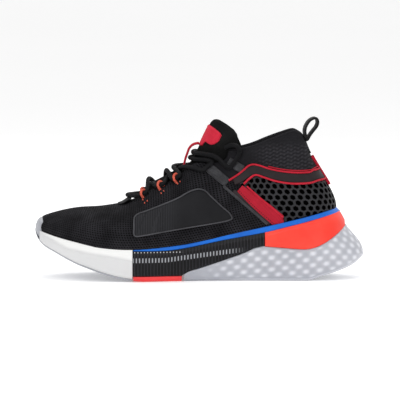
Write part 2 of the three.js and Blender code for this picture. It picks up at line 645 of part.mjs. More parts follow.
add("forefoot_outsole", forefootOutsole, "#b4b7bd", 0.5);
add("forefoot_midsole", forefootMidsole, white, 0.6);
add("midfoot_outsole_pad", midfootPad, "#e8383a", 0.5);
add("midfoot_cage", midfootCage, "#17171a", 0.45);
add("heel_pod", heelPod, "#aeb2ba", 0.4);
add("heel_clip", heelClip, "#ff5848", 0.35);
add("plate", plate, "#146ed2", 0.35);
add("midsole_core", midsoleCore, white);
add("insole_board", board.intersect(rearfoot), "#d8d2c4");
add("forefoot_board", board.intersect(forefoot), "#d8d2c4");
add("sockliner", liner.intersect(rearfoot), black);
add("forefoot_sockliner", liner.intersect(forefoot), black);

add("toe_box", knit.intersect(across(toeZone)), black);
add("vamp_flex", knit.intersect(across(flexOutline)), black);
add("knit_quarters", bodyKnit.intersect(across(quarterZone)), black);
add("heel_mesh", bodyKnit.intersect(across(heelZone)), black);
add("collar_bootie", bodyKnit.intersect(across(collarZone)), black);
add("toe_puff", inlay([[-200, 20], [-116, 20], [-116, 90], [-200, 90]], skin + gap, stiffener),
  "#55565a");
add("heel_counter", inlay([[64, 20], [200, 20], [200, 88], [64, 88]], skin + gap, stiffener),
  "#55565a");
add("collar_padding",
  inlay([[50, 102], [124, 98], [124, 160], [37, 160], [37, 108]], skin + gap, padding), black);
add("throat_patch", throatPatch, charcoal, 0.5);
for (const [name, side] of [["lateral", -1], ["medial", 1]]) {
  const reach = onSide(side);
  add(`side_panel_${name}`, overlay(inset(panelOutline, 1), film, ...reach), "#232327", 0.5);
  add(`panel_outline_${name}`,
    overlay(inset(panelOutline, -0.6), film + 0.4, ...reach)
      .subtract(across(inset(panelOutline, 1 - gap), ...reach)), charcoal, 0.5);
  add(`red_strap_${name}`, overlay(strapOutline, webbing, ...reach), red);
  add(`webbing_strap_${name}`, overlay(webbingOutline, webbing, ...reach), charcoal);
  add(`lace_tab_${name}`, overlay(strip(tabLine, 7), webbing, ...reach), charcoal);
}
add("ankle_band", band, "#2a2223");
add("band_piping_upper", overlay(strip(pipingUpper, 1.5), piping), red);
add("band_piping_lower", overlay(strip(pipingLower, 1.5), piping), red);
add("heel_spine", heelSpine, red);
add("pull_loop_anchor", pullAnchor, black);
add("pull_loop", pullLoop, black);
add("tongue_base", tongueBase, black);
add("tongue_flap", tongueFlap, black);
add("tongue_patch", tonguePatch, "#e13241");
add("lace_keeper", laceKeeper, red);
add("lace", lace, black);
for (const [name, side] of [["lateral", -1], ["medial", 1]]) {
  eyelets[name].forEach((at, i) => {
    const out = [-0.45, side * (side < 0 ? 0.33 : 0.5), 0.83];
    add(`eyelet_loop_${name}_${i + 1}`, eyeletLoop(at, laceWay, out), "#f5705a", 0.6);
  });
}

// The origin lies under the middle of the shoe, on the floor.
const box = new THREE.Box3().setFromObject(group);
const middle = box.getCenter(new THREE.Vector3());
group.position.set(-middle.x, -middle.y, -box.min.z);

export default group;
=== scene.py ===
import math

import bmesh
import bpy
import numpy as np
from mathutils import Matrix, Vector
from mathutils.bvhtree import BVHTree


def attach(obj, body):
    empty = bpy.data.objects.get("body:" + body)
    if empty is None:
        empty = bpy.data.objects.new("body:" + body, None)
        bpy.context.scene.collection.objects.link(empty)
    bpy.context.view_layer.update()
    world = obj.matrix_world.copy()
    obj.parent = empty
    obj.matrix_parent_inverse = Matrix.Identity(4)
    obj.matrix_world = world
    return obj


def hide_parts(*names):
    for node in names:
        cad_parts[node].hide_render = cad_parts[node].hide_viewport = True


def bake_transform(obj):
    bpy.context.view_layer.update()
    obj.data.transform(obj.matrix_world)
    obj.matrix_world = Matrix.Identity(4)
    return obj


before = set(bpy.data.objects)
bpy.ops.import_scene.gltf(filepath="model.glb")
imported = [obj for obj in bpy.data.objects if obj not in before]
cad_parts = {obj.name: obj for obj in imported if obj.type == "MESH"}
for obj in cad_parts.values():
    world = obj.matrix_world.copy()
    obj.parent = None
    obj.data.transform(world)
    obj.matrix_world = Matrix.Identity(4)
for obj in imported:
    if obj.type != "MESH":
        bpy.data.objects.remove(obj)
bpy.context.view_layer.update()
scene = bpy.context.scene
print("frame loaded")

# The shoe's lines below are in millimetres, toe towards -x, before the move to the frame's origin.
originShift = np.array([0.25, 1.6078, 0.0])


def toFrame(points):
    return (np.asarray(points, float) + originShift) / 1000


def mix(a, b, k):
    return a + (b - a) * k


def ease(v, low, high):
    k = np.clip((np.asarray(v, float) - low) / (high - low), 0, 1)
    return k * k * (3 - 2 * k)


def smoothLine(rows):  # a smooth function through rows of position and values
    rows = np.array(rows, float)
    at, values = rows[:, 0], rows[:, 1:]

    def line(position):
        p = np.clip(np.asarray(position, float), at[0], at[-1])
        i = np.clip(np.searchsorted(at, p, side="left") - 1, 0, len(at) - 2)
        before, after = np.maximum(i - 1, 0), np.minimum(i + 2, len(at) - 1)
        span = (at[i + 1] - at[i])[..., None]
        k = (p - at[i])[..., None] / span
        out = (values[i + 1] - values[before]) / (at[i + 1] - at[before])[..., None] * span
        into = (values[after] - values[i]) / (at[after] - at[i])[..., None] * span
        k2, k3 = k * k, k * k * k
        found = (2 * k3 - 3 * k2 + 1) * values[i] + (k3 - 2 * k2 + k) * out
        found = found + (3 * k2 - 2 * k3) * values[i + 1] + (k3 - k2) * into
        return found[..., 0] if values.shape[1] == 1 else found

    return line


def straightLine(rows):
    rows = np.array(rows, float)
    return lambda position: np.interp(position, rows[:, 0], rows[:, 1])


def roundEnd(q):
    q = np.asarray(q, float)
    return np.where(q < 1, np.sqrt(np.clip(1 - (1 - q) ** 2, 0, 1)), 1.0)


def smoothPath(points, steps, closed=False):  # centripetal curve through points
    points = [np.array(p, float) for p in points]
    if closed:
        points = [points[-1]] + points + [points[0], points[1]]
    else:
        points = [2 * points[0] - points[1]] + points + [2 * points[-1] - points[-2]]
    made = []
    for i in range(1, len(points) - 2):
        p = points[i - 1:i + 3]
        d = [max(np.linalg.norm(p[n + 1] - p[n]), 1e-6) ** 0.5 for n in range(3)]
        m1 = ((p[1] - p[0]) / d[0] - (p[2] - p[0]) / (d[0] + d[1]) + (p[2] - p[1]) / d[1]) * d[1]
        m2 = ((p[2] - p[1]) / d[1] - (p[3] - p[1]) / (d[1] + d[2]) + (p[3] - p[2]) / d[2]) * d[1]
        for n in range(steps):
            k = n / steps
            made.append((2 * k**3 - 3 * k**2 + 1) * p[1] + (k**3 - 2 * k**2 + k) * m1 + (3 * k**2
                - 2 * k**3) * p[2] + (k**3 - k**2) * m2)
    if not closed:
        made.append(points[-2])
    return np.array(made)


def evenPath(points, step, closed=False):  # the same path with even steps
    points = np.vstack([points, points[:1]]) if closed else np.asarray(points, float)
    length = np.concatenate([[0], np.cumsum(np.linalg.norm(np.diff(points, axis=0), axis=1))])
    count = max(2, int(round(length[-1] / step)))
    at = np.linspace(0, length[-1], count + 1)[:-1 if closed else None]
    return np.stack([np.interp(at, length, points[:, c]) for c in range(points.shape[1])], 1)


def meshPiece(name, points, faces, cloth=None, material=None, mergeAt=2e-6):
    # cloth holds two lengths in millimetres for each point, which the weaves follow
    mesh = bpy.data.meshes.new(name)
    mesh.from_pydata([tuple(p) for p in toFrame(points)], [], [tuple(f) for f in faces])
    if cloth is not None:
        layer = mesh.uv_layers.new(name="cloth")
        corners = np.zeros(len(mesh.loops), np.int32)
        mesh.loops.foreach_get("vertex_index", corners)
        layer.data.foreach_set("uv", (np.asarray(cloth, float)[corners] / 100).ravel())
    build = bmesh.new()
    build.from_mesh(mesh)
    bmesh.ops.remove_doubles(build, verts=build.verts, dist=mergeAt)
    bmesh.ops.dissolve_degenerate(build, edges=build.edges, dist=1e-7)
    bmesh.ops.recalc_face_normals(build, faces=build.faces)
    build.to_mesh(mesh)
    build.free()
    mesh.polygons.foreach_set("use_smooth", [True] * len(mesh.polygons))
    piece = bpy.data.objects.new(name, mesh)
    scene.collection.objects.link(piece)
    if material:
        mesh.materials.append(material)
    return piece


def gridFaces(rows, columns, closedColumns=False, first=0):
    faces = []
    for i in range(rows - 1):
        for j in range(columns if closedColumns else columns - 1):
            k = (j + 1) % columns
            faces.append((first + i * columns + j, first + (i + 1) * columns + j,
                first + (i + 1) * columns + k, first + i * columns + k))
    return faces


def gridCloth(points):  # lengths along both ways of a grid of points
    along = np.linalg.norm(np.diff(points, axis=0), axis=2)
    up = np.linalg.norm(np.diff(points, axis=1), axis=2)
    u = np.concatenate([np.zeros((1, points.shape[1])), np.cumsum(along, 0)])
    v = np.concatenate([np.zeros((points.shape[0], 1)), np.cumsum(up, 1)], 1)
    return np.stack([u, v], 2).reshape(-1, 2)


def sweptPiece(name, rings, material, cloth=None, closed=False):
    # skins closed rings of points, one after another
    rings = np.asarray(rings, float)
    count, size = rings.shape[:2]
    faces = gridFaces(count, size, True)
    if closed:
        faces += [((count - 1) * size + j, j, (j + 1) % size,
            (count - 1) * size + (j + 1) % size) for j in range(size)]
    else:
        faces += [tuple(range(size)), tuple((count - 1) * size + j for j in reversed(range(size)))]
    if cloth is None:
        mid = rings.mean(1)
        along = np.concatenate([[0], np.cumsum(np.linalg.norm(np.diff(mid, axis=0), axis=1))])
        around = np.linspace(0, 1, size, endpoint=False) * np.linalg.norm(
            np.diff(np.concatenate([rings[0], rings[0][:1]]), axis=0), axis=1).sum()
        cloth = np.stack(np.meshgrid(along, around, indexing="ij"), 2).reshape(-1, 2)
    return meshPiece(name, rings.reshape(-1, 3), faces, cloth, material)


def tubePiece(name, path, radius, material, sides=12):
    path = np.asarray(path, float)
    tangent = np.gradient(path, axis=0)
    tangent /= np.linalg.norm(tangent, axis=1)[:, None]
    aside = np.cross(tangent[0], [0.3, 0.2, 1.0])
    rings = []
    for p, t in zip(path, tangent):
        aside = aside - t * (aside @ t)
        aside /= np.linalg.norm(aside)
        other = np.cross(t, aside)
        turn = np.linspace(0, 2 * math.pi, sides, endpoint=False)
        rings.append(p + radius * (np.cos(turn)[:, None] * aside + np.sin(turn)[:, None] * other))
    return sweptPiece(name, rings, material)


# painted light and shade: a value at each point that lightens and darkens the finish's colour
def paintLightAndShade(piece, lightAndShadeAt):  # a value from 0 to 1 at each point, which the finish reads
    spots = np.zeros(len(piece.data.vertices) * 3)
    piece.data.vertices.foreach_get("co", spots)
    spots = spots.reshape(-1, 3) * 1000 - originShift
    side = np.where(spots[:, 1] < spineY(spots[:, 0]), -1, 1)
    tone = piece.data.attributes.new("tone", "FLOAT", "POINT")
    tone.data.foreach_set("value", np.clip(lightAndShadeAt(spots[:, 0], spots[:, 2], side), 0, 1))


def finishPiece(piece, body, replaced=()):
    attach(piece, body)
    if replaced:
        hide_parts(*replaced)
    return piece


making = {}  # the node tree of the finish being made


def startFinish(name, roughness, sheen=0.0, coat=0.0, specular=0.5):
    finish = bpy.data.materials.new(name)
    finish.use_nodes = True
    shader = finish.node_tree.nodes["Principled BSDF"]
    shader.inputs["Roughness"].default_value = roughness
    shader.inputs["Sheen Weight"].default_value = sheen
    shader.inputs["Sheen Roughness"].default_value = 0.45
    shader.inputs["Coat Weight"].default_value = coat
    shader.inputs["Coat Roughness"].default_value = 0.2
    shader.inputs["Specular IOR Level"].default_value = specular
    making["tree"] = finish.node_tree
    return finish, shader


def feed(socket, value):
    if isinstance(value, bpy.types.NodeSocket):
        making["tree"].links.new(value, socket)
    else:
        socket.default_value = value


def addNode(kind, inputs=None, **settings):
    node = making["tree"].nodes.new(kind)
    for key, value in settings.items():
        setattr(node, key, value)
    for key, value in (inputs or {}).items():
        feed(node.inputs[key], value)
    return node


def sums(operation, *values, limit=False):
    return addNode("ShaderNodeMath", dict(enumerate(values)), operation=operation,
        use_clamp=limit).outputs[0]


def between(value, low, high, fromLow=0.0, toHigh=1.0):  # a soft step
    return addNode("ShaderNodeMapRange", {
        "Value": value, "From Min": low, "From Max": high, "To Min": fromLow, "To Max": toHigh,
    }, interpolation_type="SMOOTHSTEP").outputs[0]


def blended(share, a, b):
    node = addNode("ShaderNodeMix", {0: share}, data_type="RGBA")
    for index, value in ((6, a), (7, b)):
        feed(node.inputs[index], (*value, 1) if isinstance(value, tuple) else value)
    return node.outputs[2]


def lengthsOf(what="cloth"):  # lengths in millimetres over the cloth, or in the frame
    if what == "cloth":
        source, scale = addNode("ShaderNodeUVMap", uv_map="cloth").outputs[0], 100
    else:
        source, scale = addNode("ShaderNodeTexCoord").outputs["Object"], 1000
    grown = addNode("ShaderNodeVectorMath", {0: source, "Scale": scale}, operation="SCALE")
    return addNode("ShaderNodeSeparateXYZ", {0: grown.outputs[0]}).outputs


def patchy(size, detail=3.0):  # slow changes over the surface, from 0 to 1
    place = addNode("ShaderNodeTexCoord").outputs["Object"]
    return addNode("ShaderNodeTexNoise", {
        "Vector": place, "Scale": 1000 / size, "Detail": detail, "Roughness": 0.6,
    }).outputs["Fac"]


def wave(length, period):  # a cosine from 0 to 1
    turned = sums("MULTIPLY_ADD", length, 2 * math.pi / period, 0.0)
    return sums("MULTIPLY_ADD", sums("COSINE", turned), 0.5, 0.5)


def bumped(shader, height, depth):
    bump = addNode("ShaderNodeBump", {
        "Height": height, "Distance": depth / 1000, "Strength": 1.0})
    feed(shader.inputs["Normal"], bump.outputs[0])


def coloured(shader, colour):
    feed(shader.inputs["Base Color"], colour)


def roughened(shader, value, low, high):
    feed(shader.inputs["Roughness"], between(value, 0.3, 0.7, low, high))


# light is the painted highlight on the raised yarn; the hole colour is painted shade in the
# eyelets, darker than the lining behind them
knitLook = {"base": (0.0075, 0.0072, 0.0085), "light": (0.034, 0.033, 0.038),
    "holeShade": (0.0004,) * 3, "pitch": 2.5, "row": 2.2, "sheen": 0.0, "roughness": 0.85}


def openKnit(name, look, holes=1.0):
    # rows of eyelets, each row half a pitch on, with small loops of yarn between them; the loops
    # carry a painted highlight and the eyelets painted shade
    finish, shader = startFinish(name, look["roughness"], look["sheen"], specular=0.06)
    u, v, _ = lengthsOf()
    leaned = sums("MULTIPLY_ADD", v, 0.5 * look["pitch"] / look["row"], u)
    across, up = wave(leaned, look["pitch"]), wave(v, look["row"])
    # the eyelets: the dark lining behind, painted darker still as shade
    holeShade = between(sums("MULTIPLY", across, up), 0.22, 0.62, 0, holes)
    yarn = sums("MULTIPLY", wave(u, 0.8), wave(v, 0.95))
    # painted highlight where the yarn loops rise, with random patches
    tone = between(sums("ADD", patchy(22), sums("MULTIPLY", yarn, 0.5)), 0.35, 1.05)
    coloured(shader, blended(holeShade, blended(tone, look["base"], look["light"]), look["holeShade"]))
    height = sums("SUBTRACT", sums("MULTIPLY", yarn, 0.35), holeShade)
    bumped(shader, height, 0.5)
    return finish


# light is the painted highlight on the rib crests
ribLook = {"base": (0.0100, 0.0096, 0.0112), "light": (0.036, 0.035, 0.040), "pitch": 3.3,
    "swing": 1.5, "swingPeriod": 6.4}


# the raised ribs are painted lighter, a painted highlight
def ribbedKnit(name, look):  # ribs that swing from side to side as they rise
    finish, shader = startFinish(name, 0.85, 0.0, specular=0.08)
    u, v, _ = lengthsOf()
    place = lengthsOf("frame")
    swing = sums("MULTIPLY_ADD", wave(place[0], look["swingPeriod"]), look["swing"],
        sums("MULTIPLY_ADD", place[0], -0.16, place[2]))
    rib = sums("MULTIPLY", wave(swing, look["pitch"]),
        sums("MULTIPLY_ADD", wave(place[0], look["swingPeriod"] / 2), 0.6, 0.4))
    rear = sums("MULTIPLY", between(place[0], 42, 66),
                between(place[2], 127, 115))  # plain knit in front, ribs behind
    fine = sums("MULTIPLY", wave(u, 1.3), wave(v, 1.5))
    height = sums("ADD", sums("MULTIPLY", rib, rear), sums("MULTIPLY", fine, 0.4))
    # painted highlight: raised ribs and loops painted lighter, with random patches
    tone = between(sums("ADD", height, sums("MULTIPLY", patchy(16), 0.6)), 0.1, 1.5)
    coloured(shader, blended(tone, look["base"], look["light"]))
    bumped(shader, height, 0.7)
    return finish


# light is the painted highlight on the walls' yarn; the hole colour is the dark backing, painted
# darker as shade in the cells
meshLook = {"base": (0.0080, 0.0080, 0.0095), "light": (0.042, 0.042, 0.048),
    "holeShade": (0.0004,) * 3, "pitch": 6.3, "row": 5.0, "wall": 1.95}


def hexagonMesh(name, look):  # a mesh of staggered six-sided cells over a dark backing, the cells painted darker still as shade and the walls' raised yarn painted lighter as a highlight
    finish, shader = startFinish(name, 0.6, specular=0.3)
    x, z, _ = lengthsOf()

    def fromCentre(shift):
        across = sums("SUBTRACT", sums("FRACT", sums(
            "MULTIPLY_ADD", x, 1 / look["pitch"], shift)), 0.5)
        up = sums("SUBTRACT", sums("FRACT", sums("MULTIPLY_ADD", z, 0.5 / look["row"], shift)), 0.5)
        ax = sums("ABSOLUTE", sums("MULTIPLY", across, look["pitch"]))
        az = sums("ABSOLUTE", sums("MULTIPLY", up, look["row"] * 2))
        slope = sums("ADD", sums("MULTIPLY", ax, 0.5), sums("MULTIPLY", az, 0.866))
        return sums("MAXIMUM", ax, slope)

    near = sums("MINIMUM", fromCentre(0.0), fromCentre(0.5))
    wall = between(near, look["wall"] - 0.3, look["wall"] + 0.45)
    cell = between(near, 0.2, look["wall"])
    yarn = sums("MULTIPLY", wave(x, 0.9), wave(z, 0.9))
    # painted highlight on the walls' raised yarn, with random patches
    tone = between(sums("ADD", yarn, patchy(18)), 0.4, 1.5)
    thread = blended(tone, look["base"], look["light"])
    feed(shader.inputs["Specular IOR Level"], sums("MULTIPLY", wall, 0.3))
    # cells painted near-black: the dark backing and painted shade
    coloured(shader, blended(wall, look["holeShade"], thread))
    height = sums("ADD", wall, sums("MULTIPLY", cell, 0.25))
    bumped(shader, sums("ADD", height, sums("MULTIPLY", yarn, 0.08)), 1.1)
    return finish


def webbingFinish(name, dark, light, rib=1.25, sheen=0.04, stitch=None):
    # ribs across, yarns along, and a line of thread near both edges; the raised yarn carries a
    # painted highlight
    finish, shader = startFinish(name, 0.72, sheen, specular=0.22)
    u, v, _ = lengthsOf()
    ribs = wave(sums("MULTIPLY_ADD", v, 0.35, u), rib)
    yarn = sums("MULTIPLY", ribs, wave(v, 0.9))
    # painted highlight where the yarn rises, with random patches
    tone = between(sums("ADD", yarn, patchy(9)), 0.35, 1.5)
    colour = blended(tone, dark, light)
    height = yarn
    if stitch:
        line = between(sums("ABSOLUTE", sums("SUBTRACT", v, stitch["at"])), 0.42, 0.25)
        thread = sums("MULTIPLY", line, between(wave(u, stitch["pitch"]), 0.25, 0.45))
        colour = blended(thread, colour, stitch["colour"])
        height = sums("ADD", yarn, thread)
    coloured(shader, colour)
    bumped(shader, height, 0.28)
    return finish


# the strands' raised crowns carry a painted highlight
def braidFinish(name, dark, light, turn=3.2):  # two ways of yarn round a cord
    finish, shader = startFinish(name, 0.7, specular=0.12)
    u, v, _ = lengthsOf()
    left = wave(sums("ADD", u, v), turn / 2)
    right = wave(sums("SUBTRACT", u, v), turn / 2)
    braid = sums("MAXIMUM", left, right)
    # painted highlight on the strands' crowns, with random patches
    tone = between(sums("ADD", braid, patchy(7)), 0.5, 1.6)
    coloured(shader, blended(tone, dark, light))
    bumped(shader, braid, 0.35)
    return finish


def mouldedFinish(name, dark, light, roughness=0.4, coat=0.15, grain=0.06, specular=0.5,
        glow=None, paintedLight=False):
    # moulded rubber, foam or plastic: fine grain, slow tone changes and handled, duller spots
    finish, shader = startFinish(name, roughness, coat=coat, specular=specular)
    slow, fine = patchy(35), patchy(0.9, 2.0)
    share = between(slow, 0.3, 0.7)
    # painted light and shade, read from the points' attribute, lightens and darkens the colour
    if paintedLight:
        tone = addNode("ShaderNodeAttribute", attribute_name="tone").outputs["Fac"]
        share = sums("MULTIPLY_ADD", share, 0.12, tone, limit=True)
    coloured(shader, blended(share, dark, light))
    roughened(shader, patchy(12), roughness - 0.06, roughness + 0.08)
    if glow:
        shader.inputs["Subsurface Weight"].default_value = glow["share"]
        shader.inputs["Subsurface Radius"].default_value = glow["reach"]
        shader.inputs["Subsurface Scale"].default_value = 0.01
    bumped(shader, fine, grain)
    return finish


cageLook = {"pitch": 2.9, "ribDeep": 0.45, "slotZ": 19.3, "rise": 0.125, "dotZ": 26.4}


# the rib crests are painted lighter, a painted highlight
def cageFinish(name):  # black ribbed moulding with a row of pale slots and a row of pale dots
    finish, shader = startFinish(name, 0.45, specular=0.25)
    x, _, z = lengthsOf("frame")
    ribs = wave(x, cageLook["pitch"])
    rising = sums("MULTIPLY", sums("MAXIMUM", sums("ADD", x, 30), 0), cageLook["rise"])
    fromRow = sums("ABSOLUTE", sums("SUBTRACT", sums("SUBTRACT", z, rising), cageLook["slotZ"]))
    row = between(fromRow, 2.3, 1.7)
    fading = between(x, 44, 22)
    slots = sums("MULTIPLY", sums("MULTIPLY", row, fading), between(ribs, 0.42, 0.2))
    fromDots = sums("ABSOLUTE", sums("SUBTRACT", z, cageLook["dotZ"]))
    dots = sums("MULTIPLY", between(fromDots, 0.65, 0.3), between(ribs, 0.7, 0.95))
    dots = sums("MULTIPLY", dots, between(x, -14, -18))
    # painted highlight on the rib crests, with random patches
    tone = between(sums("ADD", ribs, patchy(14)), 0.4, 1.5)
    black = blended(tone, (0.0025, 0.0025, 0.003), (0.014, 0.014, 0.017))
    pale = blended(slots, black, (0.40, 0.41, 0.44))
    coloured(shader, blended(dots, pale, (0.55, 0.55, 0.56)))
    roughened(shader, patchy(8), 0.36, 0.5)
    bumped(shader, patchy(0.9, 2.0), 0.05)
    return finish


softBlack = openKnit("openKnit", knitLook)
collarFinish = ribbedKnit("ribbedKnit", ribLook)
heelMeshFinish = hexagonMesh("hexagonMesh", meshLook)
# these knits carry the same painted highlight on their loops and painted shade in their eyelets
liningFinish = openKnit("liningKnit", {**knitLook, "base": (0.0030,) * 3, "light": (0.008,) * 3,
    "pitch": 1.4, "row": 1.2}, holes=0.5)
tongueFinish = openKnit("tongueFabric", {**knitLook, "base": (0.0045,) * 3, "light": (0.018,) * 3,
    "pitch": 1.5, "row": 1.3}, holes=0.6)
redThread = {"at": 1.6, "pitch": 2.1, "colour": (0.07, 0.002, 0.006)}
# the light colours of the webbings below are painted highlights on their raised yarn
redStrapFinish = webbingFinish("redStrap", (0.33, 0.004, 0.016), (0.60, 0.012, 0.040),
    stitch=redThread)
pipingFinish = webbingFinish("redPiping", (0.42, 0.006, 0.020), (0.72, 0.020, 0.050), rib=0.9)
greyWebbing = webbingFinish("greyWebbing", (0.014, 0.014, 0.016), (0.105, 0.105, 0.114), rib=1.1)
loopWebbing = webbingFinish("loopWebbing", (0.0025, 0.0025, 0.0025), (0.012, 0.012, 0.013),
    rib=1.5, sheen=0.1)
bandFinish = mouldedFinish("ankleBand", (0.010, 0.006, 0.007), (0.024, 0.014, 0.016), 0.55, 0.0,
    0.05, specular=0.25)
# the film's light colour is the painted highlight on the ribs' flanks
filmFinish = mouldedFinish("panelFilm", (0.0045, 0.0045, 0.0055), (0.030, 0.030, 0.034), 0.55,
    0.0, 0.06, specular=0.12, paintedLight=True)
outlineFinish = mouldedFinish("panelOutline", (0.030, 0.030, 0.034), (0.055, 0.055, 0.062), 0.45,
    0.0, 0.04, specular=0.3)
patchFinish = webbingFinish("tonguePatch", (0.52, 0.010, 0.030), (0.80, 0.030, 0.070), rib=0.7)
# the light colours of the lace and cord are painted highlights on the strands
laceFinish = braidFinish("roundLace", (0.0015, 0.0015, 0.0018), (0.0105, 0.0105, 0.0120))
cordFinish = braidFinish("coralCord", (0.60, 0.055, 0.030), (0.95, 0.20, 0.13), turn=1.6)
# besides random patches, the foam's dark colour is painted shade in and below the crease and its
# light colour painted light above it
whiteFoam = mouldedFinish("whiteFoam", (0.58, 0.58, 0.59), (0.80, 0.80, 0.79), 0.5, 0.0, 0.05,
    paintedLight=True)
greyRubber = mouldedFinish("greyRubber", (0.34, 0.35, 0.38), (0.42, 0.43, 0.47), 0.45, 0.05, 0.08)
redRubber = mouldedFinish("redRubber", (0.76, 0.030, 0.034), (0.90, 0.046, 0.050), 0.45, 0.05, 0.08)
clipFinish = mouldedFinish("orangeClip", (0.88, 0.040, 0.022), (1.0, 0.062, 0.036), 0.38, 0.08,
    0.03, specular=0.3)
plateFinish = mouldedFinish("bluePlate", (0.002, 0.105, 0.50), (0.004, 0.145, 0.64), 0.38, 0.05,
    0.03, specular=0.25)
# the light colour is the painted highlight on the bumps and the lip
podFinish = mouldedFinish("cloudyPod", (0.295, 0.305, 0.345), (0.74, 0.75, 0.80), 0.36, 0.15,
    0.03, glow={"share": 0.12, "reach": (0.6, 0.65, 0.75)}, paintedLight=True)
cageBlack = cageFinish("blackCage")
boardFinish = webbingFinish("wovenBoard", (0.42, 0.38, 0.30), (0.60, 0.55, 0.45), rib=0.8, sheen=0)
stiffFinish = mouldedFinish("stiffener", (0.06, 0.06, 0.065), (0.10, 0.10, 0.11), 0.55, 0.0, 0.05)
# the insole knit too: painted highlight on the loops, painted shade in the eyelets
linerFinish = openKnit("insoleKnit", {**knitLook, "base": (0.007,) * 3, "light": (0.026,) * 3,
    "pitch": 1.2, "row": 1.1}, holes=0.35)
print("finishes made")

viewSetup = {"elevation": 4.4, "away": 5.0, "aim": (0.0007, -0.043, 0.0734), "wide": 0.360}
lean = math.radians(viewSetup["elevation"])
camera = bpy.data.objects.new("camera", bpy.data.cameras.new("camera"))
scene.collection.objects.link(camera)
scene.camera = camera
back = Vector((0, -math.cos(lean), math.sin(lean)))
camera.location = Vector(viewSetup["aim"]) + back * viewSetup["away"]
camera.rotation_euler = (-back).to_track_quat("-Z", "Y").to_euler()
camera.data.sensor_width = 36
camera.data.lens = 36 * viewSetup["away"] / viewSetup["wide"]
camera.data.clip_end = 30

lightSetup = [  # name, place, size, watts
    ("keyLight", (-0.55, -1.15, 1.25), 1.1, 6.5),
    ("fillLight", (0.95, -1.25, 0.75), 1.0, 2.6),
    ("topLight", (0.05, 0.25, 1.5), 1.2, 5),
    ("rimLight", (0.35, 1.25, 0.9), 1.0, 3.5),
    ("lowLight", (-0.1, -1.5, 0.12), 0.7, 0.4),
]
for name, place, size, watts in lightSetup:
    lamp = bpy.data.objects.new(name, bpy.data.lights.new(name, "AREA"))
    scene.collection.objects.link(lamp)
    lamp.data.size, lamp.data.energy = size, watts
    lamp.location = place
    lamp.rotation_euler = (Vector((0, 0, 0.06)) - lamp.location).to_track_quat("-Z", "Y").to_euler()
world = bpy.data.worlds.new("studio")
world.use_nodes = True
world.node_tree.nodes["Background"].inputs[0].default_value = (1, 1, 1, 1)
world.node_tree.nodes["Background"].inputs[1].default_value = 0.74
scene.world = world
scene.view_settings.view_transform = "Standard"

floorFinish, floorShader = startFinish("paleFloor", 0.9, specular=0.1)
coloured(floorShader, blended(patchy(900), (0.96, 0.96, 0.96), (0.99, 0.99, 0.99)))
floorShader.inputs["Emission Color"].default_value = (1, 1, 1, 1)
floorShader.inputs["Emission Strength"].default_value = 0.22
floorHalf = 16.0
floorMesh = bpy.data.meshes.new("floor")
floorMesh.from_pydata([(x * floorHalf, y * floorHalf, -0.0002) for x,
    y in ((-1, -1), (1, -1), (1, 1), (-1, 1))], [], [(0, 1, 2, 3)])
floorMesh.materials.append(floorFinish)
floor = bpy.data.objects.new("floor", floorMesh)
scene.collection.objects.link(floor)
print("camera, lights and floor set")

# lines of the sole and of the hull
gap = 0.3
upperHeelX, upperToeX, soleHeelX, soleToeX = 124, -146, 149, -149.5
heelRound, toeRound, flexX, footWall = 40, 55, -60, 6.5
seamZ = smoothLine([[-146, 43], [-120, 37], [-90, 31.6], [-60, 30], [-20, 33.2], [0, 36.5],
    [60, 49], [124, 64]])
bottomLine = smoothLine([
    [-149.5, 42], [-147, 35.5], [-141, 29.5], [-130, 24], [-120, 19], [-110, 14.5], [-100, 11],
    [-90, 7.5], [-80, 4.5], [-70, 2.3], [-60, 0.8], [-50, 0], [-40, 0], [85, 0], [98, 0],
    [110, 3.6], [120, 6.5], [130, 9.8], [140, 14], [147, 19], [149, 21]])
rearTop = smoothLine([[124, 64], [127.5, 60], [131.5, 53], [134, 46.5], [142, 37], [147, 29.5],
    [149, 23]])
plateEdge = smoothLine([[-60, 28], [-30, 28], [-10, 30.5], [20, 36.5], [60, 44], [80, 49],
    [100, 54], [127, 60.5]])
cageEdge = smoothLine([[-16, 4.8], [-10, 8.5], [0, 11.5], [20, 18], [40, 25], [50, 29.5],
    [59, 31.5]])
podEdge = smoothLine([[59, 31], [80, 29.3], [95, 28.5], [105, 30.3], [115, 35], [125, 41.7],
    [132, 47.4]])
footbedZ = smoothLine([[-146, 38], [-130, 31.5], [-115, 26], [-100, 22.5], [-80, 20], [-60, 19.4],
    [0, 26.6], [60, 34.5], [90, 39.2], [124, 43.5]])
spineY = smoothLine([[-146, 9], [-110, 6], [-60, 2], [0, 0], [124, 0]])
lateralHalf = smoothLine([[-146, 48], [-110, 51.5], [-80, 55.5], [-55, 55], [-20, 45.5], [20, 38],
    [60, 36], [124, 35]])
medialHalf = smoothLine([[-146, 35], [-110, 43.7], [-80, 46.5], [-55, 44], [-20, 35.5],
    [20, 31.5], [60, 34], [124, 35]])
flare = smoothLine([[-149.5, 2], [-60, 2.5], [0, 3], [60, 5], [100, 7], [149, 7]])
wallInset = smoothLine([[0, 5], [0.05, 2.6], [0.14, 0.9], [0.4, 0], [0.75, 2], [1, 4]])


heelEnd = straightLine([[0, 149], [23, 149], [29.5, 147], [37, 142], [46.5, 134], [53, 131.5],
                        [60, 127.5], [64, 124], [70, 121]])  # where each level ends behind


def bottomZ(x):
    return np.maximum(0, bottomLine(x))


def soleTopZ(x):
    return np.where(np.asarray(x) > upperHeelX, rearTop(x), seamZ(x) - gap)


def halfOf(x, side):
    return np.where(side < 0, lateralHalf(x), medialHalf(x))


def seamHalf(x, side):
    return (halfOf(x, side) * roundEnd((upperHeelX - x) / heelRound) * roundEnd((x
        - upperToeX) / toeRound))


